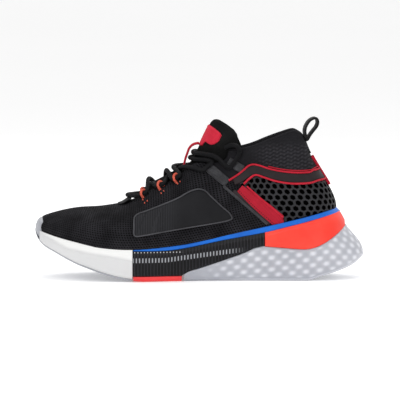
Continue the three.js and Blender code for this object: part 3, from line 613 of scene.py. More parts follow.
def soleHalf(x, side, z=0):
    return ((halfOf(x, side) + flare(x)) * roundEnd(np.maximum(0,
        heelEnd(z) - x) / (heelRound + 8)) * roundEnd((x - soleToeX) / toeRound))


def wallHalf(x, z, side):
    share = np.clip((z - bottomZ(x)) / np.maximum(soleTopZ(x) - bottomZ(x), 0.5), 0, 1)
    half = soleHalf(x, side, z)
    return np.maximum(0, half - wallInset(share) * np.clip(half / 12, 0, 1))


def footHalf(x, side, inset):  # half width of the room for the foot, less an inset
    reach = footWall + inset
    ends = (roundEnd((upperHeelX - reach - x) / heelRound)
        * roundEnd((x - upperToeX - reach) / toeRound))
    return np.maximum(0, (halfOf(x, side) - reach) * ends)


def sidePoint(x, side, half, z):
    return np.stack([x, spineY(x) + side * half, z], 1)


def spaced(fromX, toX, count, rounded=(True, True)):  # stations that crowd towards rounded ends
    k = np.linspace(0, 1, count)
    if rounded == (True, True):
        k = (1 - np.cos(math.pi * k)) / 2
    elif rounded[1]:
        k = np.sin(math.pi / 2 * k)
    elif rounded[0]:
        k = 1 - np.cos(math.pi / 2 * k)
    return mix(fromX, toX, k)


def wallRows(x, low, high, rows, side, proud=None, edge=0.5):
    # points up the sole's side wall between two heights, with softened edges
    height = np.maximum(high - low, 0.05)
    crowd = 1 + 0.9 * ease(x, 95, 125)[:, None]  # rows crowd towards the top where walls close
    z = low[:, None] + height[:, None] * (1 - (1 - np.linspace(0, 1, rows)[None]) ** crowd)
    half = wallHalf(x[:, None], z, side)
    near = np.minimum(z - low[:, None], high[:, None] - z) / edge
    half = half - edge * (1 - roundEnd(np.clip(near, 0, 1))) * np.clip(half / 3, 0, 1)
    if proud is not None:
        half = half + proud(x[:, None], z, side) * np.clip(half / 6, 0, 1)
    return np.stack([np.broadcast_to(x[:, None], z.shape), spineY(x)[:, None] + side * half, z], 2)


def solePiece(name, x, low, high, rows, material, hollow=None, proud=None, edge=0.5):
    # hollow gives each side's inner points from the top inwards; without it the piece is solid
    left = wallRows(x, low, high, rows, -1, proud, edge)
    right = wallRows(x, low, high, rows, 1, proud, edge)
    middle = [left, hollow(x, -1)] if hollow else [left]
    after = [hollow(x, 1)[:, ::-1], right[:, ::-1]] if hollow else [right[:, ::-1]]
    rings = np.concatenate(middle + after, 1)
    around = np.linalg.norm(np.diff(rings, axis=1), axis=2)
    cloth = np.stack([np.broadcast_to(x[:, None], rings.shape[:2]),
        np.concatenate([np.zeros((len(x), 1)), np.cumsum(around, 1)], 1)], 2)
    return sweptPiece(name, rings, material, cloth.reshape(-1, 2))


def footRoomPoints(x, side):
    inner = np.clip(x, upperToeX + footWall + 0.1, upperHeelX - footWall - 0.1)
    half = footHalf(inner, side, 0)
    return np.stack([sidePoint(inner, side, half, np.minimum(soleTopZ(x), seamZ(inner))),
        sidePoint(inner, side, half, footbedZ(inner))], 1)


midsoleSetup = {"creaseDeep": 0.6, "creaseWide": 0.7, "bulge": 1.3, "bulgeHigh": 5.5}
creaseZ = straightLine([[-144, 41], [-120, 29], [-100, 25], [-80, 22], [-60, 18.5]])


def midsoleCrease(x, z, side):  # a groove, and the fuller band above it
    m, above = midsoleSetup, z - creaseZ(x)
    return (-m["creaseDeep"] * np.exp(-(above / m["creaseWide"]) ** 2) + m["bulge"] * ease(above,
        0.2, m["bulgeHigh"])) * ease(x, -147, -138)


def treadEdge(x):
    return bottomZ(x) + 1.7


foreX = spaced(soleToeX + 0.02, flexX - gap, 150, (True, False))
foreMidsole = solePiece("forefootMidsole", foreX[foreX > -145.2],
    treadEdge(foreX)[foreX > -145.2] + 0.1, soleTopZ(foreX)[foreX > -145.2], 40, whiteFoam,
    footRoomPoints, midsoleCrease, 0.6)
# painted shade in and below the crease, and painted light on the fuller band above it
paintLightAndShade(foreMidsole, lambda x, z, side: 0.25 + 0.7 * ease(z - creaseZ(x), -0.5, 3.5))
finishPiece(foreMidsole, "forefoot", ["forefoot_midsole"])


def treadHollow(x, side):
    half = np.maximum(0, wallHalf(x, treadEdge(x), side) - 3)
    return sidePoint(x, side, half, treadEdge(x) - 0.1)[:, None]


tread = solePiece("forefootTread", foreX, bottomZ(foreX), treadEdge(foreX), 6, greyRubber,
    treadHollow, edge=0.4)
finishPiece(tread, "forefoot", ["forefoot_outsole"])

cageX = np.linspace(flexX + gap, 58.8, 520)


def cageLow(x):
    return np.where(x < -16, 4.9, cageEdge(x) + gap)


def cageRibs(x, z, side):  # fine upright ribs below a plain rim
    rib = np.cos(2 * math.pi * (x + originShift[0]) / cageLook["pitch"])
    field = ease(plateEdge(x) - z, 3.2, 4.4) * ease(z - cageLow(x), 0.3, 1.3)
    return cageLook["ribDeep"] * (np.clip(rib * 1.6, -1, 1) - 0.2) * field


cage = solePiece("ribbedCage", cageX, cageLow(cageX), plateEdge(cageX) - 0.1, 30, cageBlack, None,
    cageRibs, 0.5)
finishPiece(cage, "shoe", ["midfoot_cage"])

padX = np.linspace(flexX + gap, -16, 60)
redPad = solePiece("midfootTread", padX, bottomZ(padX), np.full(60, 4.7), 8, redRubber, None,
    lambda x, z, side: 0.35 + 0 * z, 0.5)
finishPiece(redPad, "shoe", ["midfoot_outsole_pad"])

podSetup = {"bumpHigh": 1.5, "bumpWide": 4.6, "bumpTall": 3.1, "pitch": 12.45, "row": 5.3,
    "lip": 0.5, "start": 28, "level": 17, "climb": 0.105, "climbEnd": 92, "drop": 0.05,
    "dropFrom": 120}
podX = spaced(-14, soleHeelX - 0.02, 420, (False, True))
podHigh = np.where(podX < 59, cageEdge(podX),
    np.where(podX < 132, podEdge(podX), np.minimum(rearTop(podX), 48.2)))
podRim = np.stack([podX, soleHalf(podX, -1)], 1)
podWay = np.concatenate([[0], np.cumsum(np.linalg.norm(np.diff(podRim, axis=0), axis=1))]) - 14


def podSwell(x, z):  # soft staggered bumps that follow the wall round the heel
    d = podSetup
    reach = np.where(x > 100, 100 + (x - 100) * 49 / np.maximum(heelEnd(z) - 100, 5), x)
    way = np.interp(reach, podX, podWay)
    rise = (z - d["climb"] * np.minimum(way - d["start"],
        d["climbEnd"]) + d["drop"] * np.maximum(way - d["dropFrom"], 0))
    total = 0
    for odd in (0, 1):
        u = (way - d["start"] - odd * d["pitch"] / 2) / d["pitch"]
        v = (rise - d["level"] - odd * d["row"]) / (2 * d["row"])
        du = (u - np.round(u)) * d["pitch"] / d["bumpWide"]
        dv = (v - np.round(v)) * 2 * d["row"] / d["bumpTall"]
        total = total + np.exp(-1.5 * (du * du + dv * dv))
    top = np.where(x < 131, np.interp(x, podX, podHigh), 80)
    return total * ease(top - z, 0.4, 2.2) * ease(z - bottomZ(x), 1.6, 4.0) * ease(x, -12, 30)


def podLip(x, z):
    return np.exp(-((z - bottomZ(x) - 1.0) / 0.8) ** 2) * ease(x, 10, 40)


def podBumps(x, z, side):
    return (podSetup["bumpHigh"] * (podSwell(x, z) - 0.35) + podSetup["lip"] * podLip(x,
        z)) * ease(x, -12, 0)


pod = solePiece("dimpledPod", podX, bottomZ(podX), podHigh, 62, podFinish, None, podBumps, 0.6)
# painted highlights on the bumps and on the lip, and lighter towards the heel
paintLightAndShade(pod, lambda x, z,
    side: 0.14 + 0.62 * ease(podSwell(x, z), 0.15, 1.1) + 0.45 * podLip(x, z) + 0.12 * ease(x, 95,
    140))
finishPiece(pod, "shoe", ["heel_pod"])

clipX = np.concatenate([np.linspace(59.1, 112, 70), spaced(112.5, 131.9, 40, (False, True))])


def clipHollow(x, side):
    top = np.minimum(plateEdge(x), soleTopZ(x)) - gap
    inner = np.maximum(0, wallHalf(x, top, side) - 6.5) * ease(121 - x, 0, 3)
    return np.stack([sidePoint(x, side, inner, top - 0.1),
        sidePoint(x, side, inner, podEdge(x) + 0.6)], 1)


def clipCrown(x, z, side):  # slightly full, with a fine moulded line inside its border
    low, high = podEdge(x), np.minimum(plateEdge(x), soleTopZ(x))
    inside = np.minimum(np.minimum(z - low, high - z), np.minimum(x - 59, 136 - x))
    return 0.5 * ease(inside, 0, 4) - 0.35 * np.exp(-((inside - 2.6) / 0.5) ** 2)


clipHigh = np.minimum(plateEdge(clipX), soleTopZ(clipX)) - 0.1


def clipSolid(name):
    # each side is its own wall up to the heel, where the two meet
    rings = []
    for side in (-1, 1):
        wall = wallRows(clipX, podEdge(clipX) + 0.1, clipHigh, 34, side, clipCrown, 0.7)
        rings.append(np.concatenate([wall, clipHollow(clipX, side)], 1))
    points = np.concatenate([rings[0].reshape(-1, 3), rings[1].reshape(-1, 3)])
    size = rings[0].shape[1]
    count = len(clipX)
    faces = gridFaces(count, size, True) + gridFaces(count, size, True, count * size)
    for first in (0, count * size):
        faces += [tuple(first + j for j in range(size)),
            tuple(first + (count - 1) * size + j for j in reversed(range(size)))]
    cloth = points[:, [0, 2]]
    return meshPiece(name, points, faces, cloth, clipFinish)


clip = clipSolid("heelClip")
finishPiece(clip, "shoe", ["heel_clip"])

plateX = np.concatenate([np.linspace(flexX + gap, 108, 170),
    spaced(108.4, 127.4, 44, (False, True))])


def plateHollow(x, side):
    under = footRoomPoints(x, side)
    low = under[:, 1].copy()
    low[:, 1] = spineY(x) + side * np.maximum(0, np.abs(low[:, 1] - spineY(x)) + 1.5)
    low[:, 2] -= 1.8
    return np.concatenate([under, low[:, None]], 1)


def plateSolid(name):
    # a rim outside, the room for the foot inside, and a thin floor under it
    low, high = plateEdge(plateX), np.maximum(soleTopZ(plateX), plateEdge(plateX) + 0.6)
    rings = []
    for side in (-1, 1):
        wall = wallRows(plateX, low, high, 12, side, lambda x, z, s: 0.55 + 0 * z, 0.8)
        room = footRoomPoints(plateX, side)
        room[:, 0, 2] = np.minimum(room[:, 0, 2], high)
        rings.append((wall, room, plateHollow(plateX, side)[:, 2]))
    ring = np.concatenate([rings[0][2][:, None], rings[0][0], rings[0][1], rings[1][1][:, ::-1],
        rings[1][0][:, ::-1], rings[1][2][:, None]], 1)
    return sweptPiece(name, ring, plateFinish)


plate = plateSolid("bluePlate")
finishPiece(plate, "shoe", ["plate"])


def insolePoints(x, rows=24):
    # a thin foam bed that rises a little at its edges
    k = np.linspace(-1, 1, rows)
    top, low = [], []
    for side, share in ((-1 if v < 0 else 1, abs(v)) for v in k):
        half = footHalf(x, side, 0.6) * share
        z = footbedZ(x) + 2.4
        crown = 4.0 + 1.6 * share**4 - 1.2 * (1 - share**2)
        top.append(sidePoint(x, side, half, z + crown))
        low.append(sidePoint(x, side, half, z))
    return np.stack(top + low[::-1], 1)


linerX = spaced(upperToeX + footWall + 0.8, upperHeelX - footWall - 0.8, 130)
insole = sweptPiece("insole", insolePoints(linerX), linerFinish)
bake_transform(insole)
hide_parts("sockliner", "forefoot_sockliner")
print("sole made")

crownLine = smoothLine([
    [0, 94, 0, 129.5], [0.07, 91.5, 10, 131.7], [0.13, 86, 17.5, 133.5], [0.2, 75, 23.5, 130.2],
    [0.27, 62, 26, 125.6], [0.34, 48, 25, 120.3], [0.39, 36, 21, 117.3], [0.43, 24, 17, 116],
    [0.465, 8, 10, 113.5], [0.5, -5, 0, 110.5], [0.557, -20, 0, 95], [0.606, -40, 0, 84],
    [0.657, -62, 0, 70.5], [0.714, -86, 0, 65], [0.78, -109, 0, 62.3], [0.843, -127, 0, 58.3],
    [0.913, -137.5, 0, 55.3], [1, -141, 0, 54]])


def crownPoint(t):
    row = crownLine(t)
    point = np.stack([row[..., 0], spineY(row[..., 0]), row[..., 2]], -1)
    return point, np.where(t < 0.5, np.maximum(0, row[..., 1]), 0)


def onHull(u, v):
    u, v = np.broadcast_arrays(np.asarray(u, float), np.asarray(v, float))
    turn = np.where(u > 1, u - 2, np.where(u < -1, u + 2, u))
    side = np.where(turn < 0, -1.0, 1.0)
    t = np.abs(turn)
    footX = mix(upperHeelX, upperToeX, (1 - np.cos(math.pi * t)) / 2)
    half = seamHalf(footX, side)
    foot = np.stack([footX, spineY(footX) + side * half, seamZ(footX) + gap / 2], -1)
    point, opening = crownPoint(t)
    along = crownPoint(np.maximum(0, t - 0.01))[0] - crownPoint(np.minimum(1, t + 0.01))[0]
    along = along / np.where(along[..., :1] == 0, 1, along[..., :1])
    top = point.copy()
    top[..., 1] += side * opening
    ridge = ease(t, 0.41, 0.5)
    leanBy, rise = foot[..., 0] - top[..., 0], top[..., 2] - foot[..., 2]
    collarHandle = top + np.stack([0.1 * leanBy, side, -0.34 * rise], -1)
    ridgeHandle = top + along * (0.35 * leanBy)[..., None]
    ridgeHandle[..., 1] += side * mix(0.38, 0.52, ease(t, 0.62, 0.8)) * np.abs(foot[...,
        1] - top[..., 1])
    topHandle = mix(collarHandle, ridgeHandle, ridge[..., None])
    bulge = mix(3.5, 5, ridge) * np.minimum(1, half / 20)
    footHandle = foot + np.stack([-2 * ease(t, 0.8, 1), side * bulge,
        mix(0.27, 0.6, ridge) * rise], -1)
    k = v[..., None]
    return ((1 - k) ** 3 * foot + 3 * (1 - k) ** 2 * k * footHandle + 3 * (1 - k) * k**2
        * topHandle + k**3 * top)


def hullNormal(u, v):
    u, v = np.broadcast_arrays(np.asarray(u, float), np.asarray(v, float))
    step = 0.004
    around = onHull(u + step, v) - onHull(u - step, v)
    up = onHull(u, np.minimum(1, v + step)) - onHull(u, np.maximum(0, v - step))
    normal = np.cross(around, up)
    return normal / np.maximum(np.linalg.norm(normal, axis=-1, keepdims=True), 1e-9)


def offHull(u, v, out):
    return onHull(u, v) + hullNormal(u, v) * (out[..., None] if np.ndim(out) else out)


throatHalf = straightLine([[-66, 0], [-64.5, 6], [-59, 10.5], [-50, 12.5], [-20, 15.5], [8, 17.5],
    [24, 18.3], [33, 16.8], [42, 8]])
bandLine = straightLine([  # the collar's lower edge, under the ankle band
    [-12, 121], [8, 103.5], [16, 96], [24, 87.8], [34, 90], [42, 95], [50, 99.4], [60, 96.9],
    [74, 93.2], [88, 91.8], [100, 91.9], [124, 95.5]])
strapLine = straightLine([[36, 84], [55, 68], [74.5, 51.5], [84, 42]])


def crossings(u, inside):  # where each rib of the hull first meets a zone
    v = np.linspace(0, 1, 401)
    points = onHull(u[:, None], v)
    hit = inside(points)
    first = np.where(hit.any(1), hit.argmax(1), 400)
    return v[first]


def inThroat(points):
    x, y, z = points[..., 0], points[..., 1], points[..., 2]
    return ((np.abs(y - spineY(x)) < throatHalf(x)) & (z > 55) & (x > -66) & (x < 42))


ribCount = 521
ribU = np.linspace(-1, 1, ribCount)
throatV = crossings(ribU, inThroat)
bandV = crossings(ribU, lambda p: (p[..., 2] > bandLine(p[..., 0])) & (p[..., 0] > -12))
bandV = np.where(np.abs(ribU) > 0.49, 1.0, bandV)

hullU, hullV = np.linspace(-1, 1, 401), np.linspace(0, 1, 71)
hullPoints = onHull(hullU[:, None], hullV)
hullTree = BVHTree.FromPolygons([tuple(p) for p in hullPoints.reshape(-1, 3)], gridFaces(401, 71))


def sideSpot(x, z, side):  # the hull's point and outward normal seen from one side
    hit = hullTree.ray_cast(Vector((x, side * 200, z)), Vector((0, -side, 0)))
    if hit[0] is None:
        hit = hullTree.find_nearest(Vector((x, side * 20, z)))
    spot, normal = np.array(hit[0]), np.array(hit[1])
    return spot, normal * (1 if normal[1] * side > 0 else -1)


def nearSpot(point):
    spot, normal, _, _ = hullTree.find_nearest(Vector(point))
    spot, normal = np.array(spot), np.array(normal)
    outward = spot - np.array([spot[0] * 0.8, spineY(spot[0]), min(spot[2], 60) * 0.8 + 8])
    return spot, normal * (1 if normal @ outward > 0 else -1)


def hullSheet(name, u, low, high, rows, out, material, skirt=0.0, lift=0.0, levelCloth=False):
    # a skin over the hull between two heights of each rib
    v = low[:, None] + (high - low)[:, None] * np.linspace(0, 1, rows)
    points = offHull(u[:, None], v, out)
    points[..., 2] += lift
    if skirt:
        down = points[:, :1] - np.array([0, 0, skirt])
        points = np.concatenate([down, points], 1)
    cloth = gridCloth(points)
    if levelCloth:  # lengths round the middle of the sheet, and heights
        middle = onHull(u, np.full(len(u), 0.4))
        way = np.concatenate([[0], np.cumsum(np.linalg.norm(np.diff(middle, axis=0), axis=1))])
        cloth = np.stack([np.broadcast_to(way[:, None], points.shape[:2]), points[..., 2]],
            2).reshape(-1, 2)
    return meshPiece(name, points.reshape(-1, 3), gridFaces(*points.shape[:2]), cloth, material,
        mergeAt=3e-5)


def thicken(piece, thick):  # gives a skin its thickness, inwards
    shell = piece.modifiers.new("shell", "SOLIDIFY")
    shell.thickness, shell.offset = thick / 1000, -1
    shell.use_even_offset = False
    graph = bpy.context.evaluated_depsgraph_get()
    made = bpy.data.meshes.new_from_object(piece.evaluated_get(graph), depsgraph=graph)
    piece.modifiers.clear()
    piece.data = made


# the knit from the sole up to the throat and under the collar, in one skin
knitHigh = np.minimum(throatV, np.minimum(1, bandV + 0.03))
toeLift = 1.6 * ease(np.abs(ribU), 0.70, 0.84)[:, None] * ease(np.linspace(0, 1, 74), 0.3, 0.85)
knitSkin = hullSheet("knitUpper", ribU, np.zeros(ribCount), knitHigh, 74, 0.0, softBlack, 1.2,
    toeLift)
thicken(knitSkin, 2.2)
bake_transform(knitSkin)
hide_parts("toe_box", "vamp_flex", "knit_quarters")

# the lining inside it
liningV = np.where(throatV < 1, throatV, 1.0)
liningDeep = -4.9 - 2.6 * ease(0.47 - np.abs(ribU), 0, 0.06)[:,
    None] * ease(np.linspace(0, 1, 40)[None] - bandV[:, None], -0.1, 0.0)
liningDeep = liningDeep - 2.4 * (1 - ease(np.linspace(0, 1, 40), 0.03, 0.2))[None]
lining = hullSheet("lining", ribU, np.full(ribCount, 0.02), np.minimum(liningV, 0.985), 40,
    liningDeep, liningFinish, 15.0)
thicken(lining, 0.6)
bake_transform(lining)

# the hexagon mesh round the heel


def inHeel(points):
    x, z = points[..., 0], points[..., 2]
    return (x > 84) | ((x > 36) & (z > strapLine(x)))


heelV = crossings(ribU, inHeel)
inside = (heelV < bandV - 0.02) & (np.abs(ribU) < 0.42)
heelSkin = hullSheet("heelMesh", ribU[inside], heelV[inside], np.minimum(1, bandV[inside] + 0.01),
    60, 0.25, heelMeshFinish, levelCloth=True)
thicken(heelSkin, 1.6)
finishPiece(heelSkin, "shoe", ["heel_mesh"])


# the padded collar: up the outside, over a rolled rim and down the inside
collarSetup = {"thick": 6.2, "front": 0.462, "rows": 30, "plump": 1.1}


def collarRings(u, top, low):
    s = collarSetup
    v = low[:, None] + (top - low)[:, None] * np.linspace(0, 1, s["rows"])
    front = ease(s["front"] - np.abs(u), 0, 0.07)  # thins towards the tongue
    thick = mix(2.0, s["thick"], front)
    share = (v - low[:, None]) / np.maximum(top - low, 1e-4)[:, None]
    plump = s["plump"] * front[:, None] * np.sin(
        np.clip((share - 0.45) / 0.55, 0, 1) * math.pi) ** 2
    outer = offHull(u[:, None], v, 0.15 + plump)
    rim, normal = onHull(u, top), hullNormal(u, top)
    upward = rim - onHull(u, np.maximum(0, top - 0.02))
    upward /= np.linalg.norm(upward, axis=1)[:, None]
    turn = np.linspace(0, math.pi, 9)[1:-1]
    centre = rim - normal * (thick / 2 - 0.15)[:, None] - upward * (thick * 0.28)[:, None]
    roll = (centre[:, None]
        + normal[:, None] * (np.cos(turn)[None, :, None] * thick[:, None, None] / 2)
            + upward[:, None] * (np.sin(turn)[None, :, None] * thick[:, None, None] * 0.5))
    down = mix(top[:, None], np.maximum(low - 0.06, 0)[:, None], np.linspace(0.04, 1, s["rows"]))
    inner = offHull(u[:, None], down, -(thick - 0.15)[:, None] - 0.6 * front[:,
        None] * np.sin(np.linspace(0, 1, s["rows"]) * math.pi)[None])
    outer[:, -1] = mix(outer[:, -1], roll[:, 0], 0.3)
    return np.concatenate([outer, roll, inner], 1)


inCollar = (throatV - bandV > 0.004) & (np.abs(ribU) < collarSetup["front"])
collarU = ribU[inCollar]
rings = collarRings(collarU, np.minimum(1, throatV[inCollar]), bandV[inCollar] - 0.004)
collar = sweptPiece("ribbedCollar", rings, collarFinish, gridCloth(rings))
finishPiece(collar, "shoe", ["collar_bootie", "collar_padding"])
print("upper made")


def sideLine(points, side, step=1.5, closed=False):  # a smooth line drawn on one side
    flat = evenPath(smoothPath(points, 8, closed), step, closed)
    return np.array([sideSpot(x, z, side)[0] for x, z in flat])


def ribbon(name, centre, halfWidth, material, high, low=0.0, closed=False, across=7):
    # a band of cloth that lies on the hull along a line of points
    centre = np.asarray(centre, float)
    tangent = np.gradient(centre, axis=0)
    if closed:
        tangent = np.roll(centre, -1, 0) - np.roll(centre, 1, 0)
    tangent /= np.maximum(np.linalg.norm(tangent, axis=1), 1e-9)[:, None]
    halfWidth = np.broadcast_to(halfWidth, len(centre))
    edge = [(-1, low - 0.4), (-1, low + 0.35 * (high - low)), (-0.97, low + 0.8 * (high - low)),
        (-0.9, high)]
    flat = [(k, high) for k in np.linspace(-0.9, 0.9, across)[1:-1]]
    profile = edge + flat + [(-k, h) for k, h in reversed(edge)]
    rings, cloth, way = [], [], 0
    for i, (p, t) in enumerate(zip(centre, tangent)):
        normal = nearSpot(p)[1]
        aside = np.cross(normal, t)
        aside /= np.linalg.norm(aside)
        ring = []
        way += np.linalg.norm(p - centre[i - 1]) if i else 0
        for k, out in profile:
            spot, up = nearSpot(p + aside * k * halfWidth[i] + normal * 0.5)
            ring.append(spot + up * out)
            cloth.append((way, (k + 1) * halfWidth[i]))
        rings.append(ring)
    return sweptPiece(name, rings, material, cloth, closed=closed)


def roundHeel(sidePoints, step=1.6):
    # a line given in side view from front to back, drawn on both sides and joined round the heel
    both = []
    flat = evenPath(smoothPath(sidePoints, 8), 1.2)
    left = [sideSpot(x, z, -1)[0] for x, z in flat if x < 101]
    right = [sideSpot(x, z, 1)[0] for x, z in flat if x < 101]
    level = straightLine(flat)
    for turn in np.linspace(-75, 75, 25):
        angle = math.radians(turn)
        direction = Vector((math.cos(angle), math.sin(angle), 0))
        z = float(level(104 + 10 * math.cos(angle)))
        hit = hullTree.ray_cast(Vector((88, 0, z)), direction)
        if hit[0] is not None:
            both.append(np.array(hit[0]))
    path = np.array(left + [p for p in both if p[0] > 101.5] + right[::-1])
    return evenPath(smoothPath(path[::2], 4), step)


sides = ((-1, "lateral"), (1, "medial"))
stripSetup = {
    "redStrap": {
        "line": [[36.6, 82.6], [44, 76.4], [53, 69.2], [62, 61.8], [70.5, 54.8], [76.5, 50.2]],
        "half": [3.6, 4.9, 5.9, 6.3, 6.4, 6.4], "high": 1.3, "finish": redStrapFinish,
        "slot": "red_webbing", "node": "red_strap"},
    "strapFold": {
        "line": [[43.0, 84.4], [50, 78.4], [58, 71.5], [66, 65.3], [72, 60.0], [75.6, 57.2]],
        "half": [0.75], "high": 1.9, "low": 1.0, "across": 4, "finish": pipingFinish,
        "slot": "red_webbing"},
    "webbingStrap": {
        "line": [[8.6, 100.6], [14, 96.2], [19, 92.2], [25.2, 87.3]],
        "half": [4.6, 4.6, 4.5, 4.2], "high": 1.45, "finish": greyWebbing,
        "slot": "grey_webbing", "node": "webbing_strap"},
    "webbingTail": {
        "line": [[21.6, 84.6], [31, 76.8], [43, 66.8], [55, 56.4], [61, 51.0]],
        "half": [1.15], "high": 1.2, "across": 4, "finish": greyWebbing, "slot": "grey_webbing"},
    "strapBacking": {
        "line": [[30.5, 80.2], [38, 73.6], [47, 65.8], [56, 58.0], [63.5, 51.4]],
        "half": [2.1], "high": 0.8, "across": 5, "finish": bandFinish, "slot": "band_fabric"},
    "laceTab": {
        "line": [[26.5, 106.6], [30, 104.6], [34, 102.2], [39.5, 99.2]], "step": 1.0,
        "half": [3.7], "high": 1.7, "across": 9, "finish": greyWebbing,
        "slot": "grey_webbing", "node": "lace_tab"},
}
for side, name in sides:
    for key, s in stripSetup.items():
        line = sideLine(s["line"], side, s.get("step", 1.5))
        half = np.interp(np.linspace(0, 1, len(line)), np.linspace(0, 1, len(s["half"])), s["half"])
        strip = ribbon(f"{key}.{name}", line, half, s["finish"], s["high"], s.get("low", 0.0),
            across=s.get("across", 7))
        finishPiece(strip, "shoe", [f"{s['node']}_{name}"] if "node" in s else ())

bandSetup = {
    "ankleBand": {
        "line": [[30.5, 89.2], [38, 92.8], [44, 97.0], [49.5, 99.5], [56, 98.4], [66, 95.3],
                 [78, 92.8], [90, 91.7], [100, 92.0], [116, 94.6]],
        "half": 4.4, "high": 1.35, "across": 9, "finish": bandFinish,
        "slot": "band_fabric", "node": "ankle_band"},
    "redPiping.upper": {
        "line": [[26.5, 89.2], [34, 93.8], [40, 98.5], [44, 102.3], [47.5, 104], [52, 103.8],
                 [62, 100.7], [72, 98.4], [86, 96.7], [100, 96.7], [116, 99]],
        "half": 0.8, "high": 2.2, "across": 4, "finish": pipingFinish,
        "slot": "red_webbing", "node": "band_piping_upper"},
    "redPiping.lower": {
        "line": [[40.2, 86.4], [44, 90.2], [47.5, 93.2], [51, 94.8], [58, 92.8], [68, 89.6],
                 [80, 87.4], [92, 86.9], [104, 87.8], [122, 91.5]],
        "half": 0.8, "high": 2.2, "across": 4, "finish": pipingFinish,
        "slot": "red_webbing", "node": "band_piping_lower"},
}
secondLine = [[x, z + 1.9] for x, z in bandSetup["redPiping.upper"]["line"] if x > 55]
bandSetup["redPiping.second"] = {"line": secondLine, "half": 0.42, "high": 1.5, "across": 3,
                                 "finish": pipingFinish, "slot": "red_webbing"}
for name, s in bandSetup.items():
    band = ribbon(name, roundHeel(s["line"]), s["half"], s["finish"], s["high"],
                  across=s["across"])
    finishPiece(band, "shoe", [s["node"]] if "node" in s else ())

rearSetup = {
    "heelSpine": {"heights": (84, 110, 26), "half": 4.6, "high": 2.5, "finish": redStrapFinish,
                  "slot": "red_webbing", "node": "heel_spine"},
    "pullLoopAnchor": {"heights": (112.5, 123.5, 12), "half": 5.0, "high": 1.6,
                       "finish": loopWebbing, "slot": "black_webbing", "node": "pull_loop_anchor"},
}
for name, s in rearSetup.items():
    path = np.array([np.array(hullTree.ray_cast(Vector((60, 0, z)),
        Vector((1, 0, 0)))[0]) for z in np.linspace(*s["heights"])])
    strip = ribbon(name, path, s["half"], s["finish"], s["high"], across=9)
    finishPiece(strip, "shoe", [s["node"]])
print("straps and bands made")

panelSetup = {
    "low": [[-58.8, 41.0], [-50, 41.9], [-40, 43.6], [-20, 46.8], [-10, 48.4], [10, 51.3],
            [20, 52.9], [26, 54.2], [29.2, 56.8]],
    "high": [[-58.8, 53.5], [-58.0, 57.4], [-55.2, 59.9], [-48, 62.6], [-40, 65.6], [-20, 73.7],
             [-8, 80.3], [-1, 82], [4.5, 80.6], [10.5, 75], [20, 66.3], [27, 60.6], [29.2, 57.0]],
    "ribPitch": 1.5, "ribHigh": 0.28,
}
panelLow, panelHigh = straightLine(panelSetup["low"]), straightLine(panelSetup["high"])
for side, name in sides:
    xs = np.linspace(-58.6, 29.0, 230)
    rows = 26
    points, cloth = [], []
    for x in xs:
        for k in np.linspace(0, 1, rows):
            z = mix(panelLow(x), panelHigh(x), k)
            spot, up = sideSpot(x, z, side)
            ribField = float(ease(-24 - x, 0, 10)) * min(1, 8 * k, 8 * (1 - k))
            rib = panelSetup["ribHigh"] * math.cos(2 * math.pi * x / panelSetup["ribPitch"])
            points.append(spot + up * (0.75 + rib * ribField))
            cloth.append((x, z))
    film = meshPiece(f"sidePanel.{name}", points, gridFaces(len(xs), rows), cloth, filmFinish)
    thicken(film, 0.9)
    # painted highlight on one flank of each rib, towards the front
    paintLightAndShade(film, lambda x, z, _: 0.15 + ease(-14 - x, 0,
        22) * np.where((x / panelSetup["ribPitch"]) % 1 < 0.5, 0.75, 0.0))
    finishPiece(film, "shoe", [f"side_panel_{name}"])
    border = ([[-58.9, 42.6], [-58.9, 48]] + panelSetup["high"] + [[29.4,
        56.0]] + panelSetup["low"][1:-1][::-1] + [[-57.4, 41.2]])
    line = sideLine(border, side, 1.0, closed=True)
    rim = ribbon(f"panelOutline.{name}", line, 0.6, outlineFinish, 1.5, closed=True, across=4)
    finishPiece(rim, "shoe", [f"panel_outline_{name}"])
print("side panels made")

tongueFront = smoothLine([[97, -16], [100, -14.5], [104, -9.5], [108.5, -5.2], [113, -3.2],
    [118, -1.2], [122, 0.8], [129, 4], [136, 7.5], [146, 13]])
tongueHalf = smoothLine([[97, 12.5], [119, 16.2], [146, 17]])
tongueReach = smoothLine([[97, 22], [103, 26], [110, 30.5], [118, 33], [125, 33], [146, 34]])
flapTop = straightLine([[-8, 119.3], [-6, 125], [2, 137], [8.5, 139.5], [10, 142.6], [13, 144.6],
    [16.5, 143.6], [25, 138], [31, 133.4], [34.5, 128.5], [36, 119]])
tongueSetup = {"turn": math.radians(100), "tuck": 3.2, "crown": 6.6, "thick": 4.3,
    "topThick": 6.2, "columns": 41, "lowRows": 20, "highRows": 46}


def tonguePoint(z, turn, out):
    angle = turn * tongueSetup["turn"]
    return np.stack(np.broadcast_arrays(tongueFront(z) - out * np.cos(angle) + tongueReach(z) * (1
        - np.cos(angle)), (tongueHalf(z) + out) * np.sin(angle), z + 0 * angle), -1)


def tongueTop(turn):  # the height where the tongue ends, on each line up it
    z = np.linspace(119, 147, 281)
    x = tonguePoint(z, turn, 0.0)[..., 0]
    below = z < flapTop(x)
    return z[below][-1] if below.any() else 119


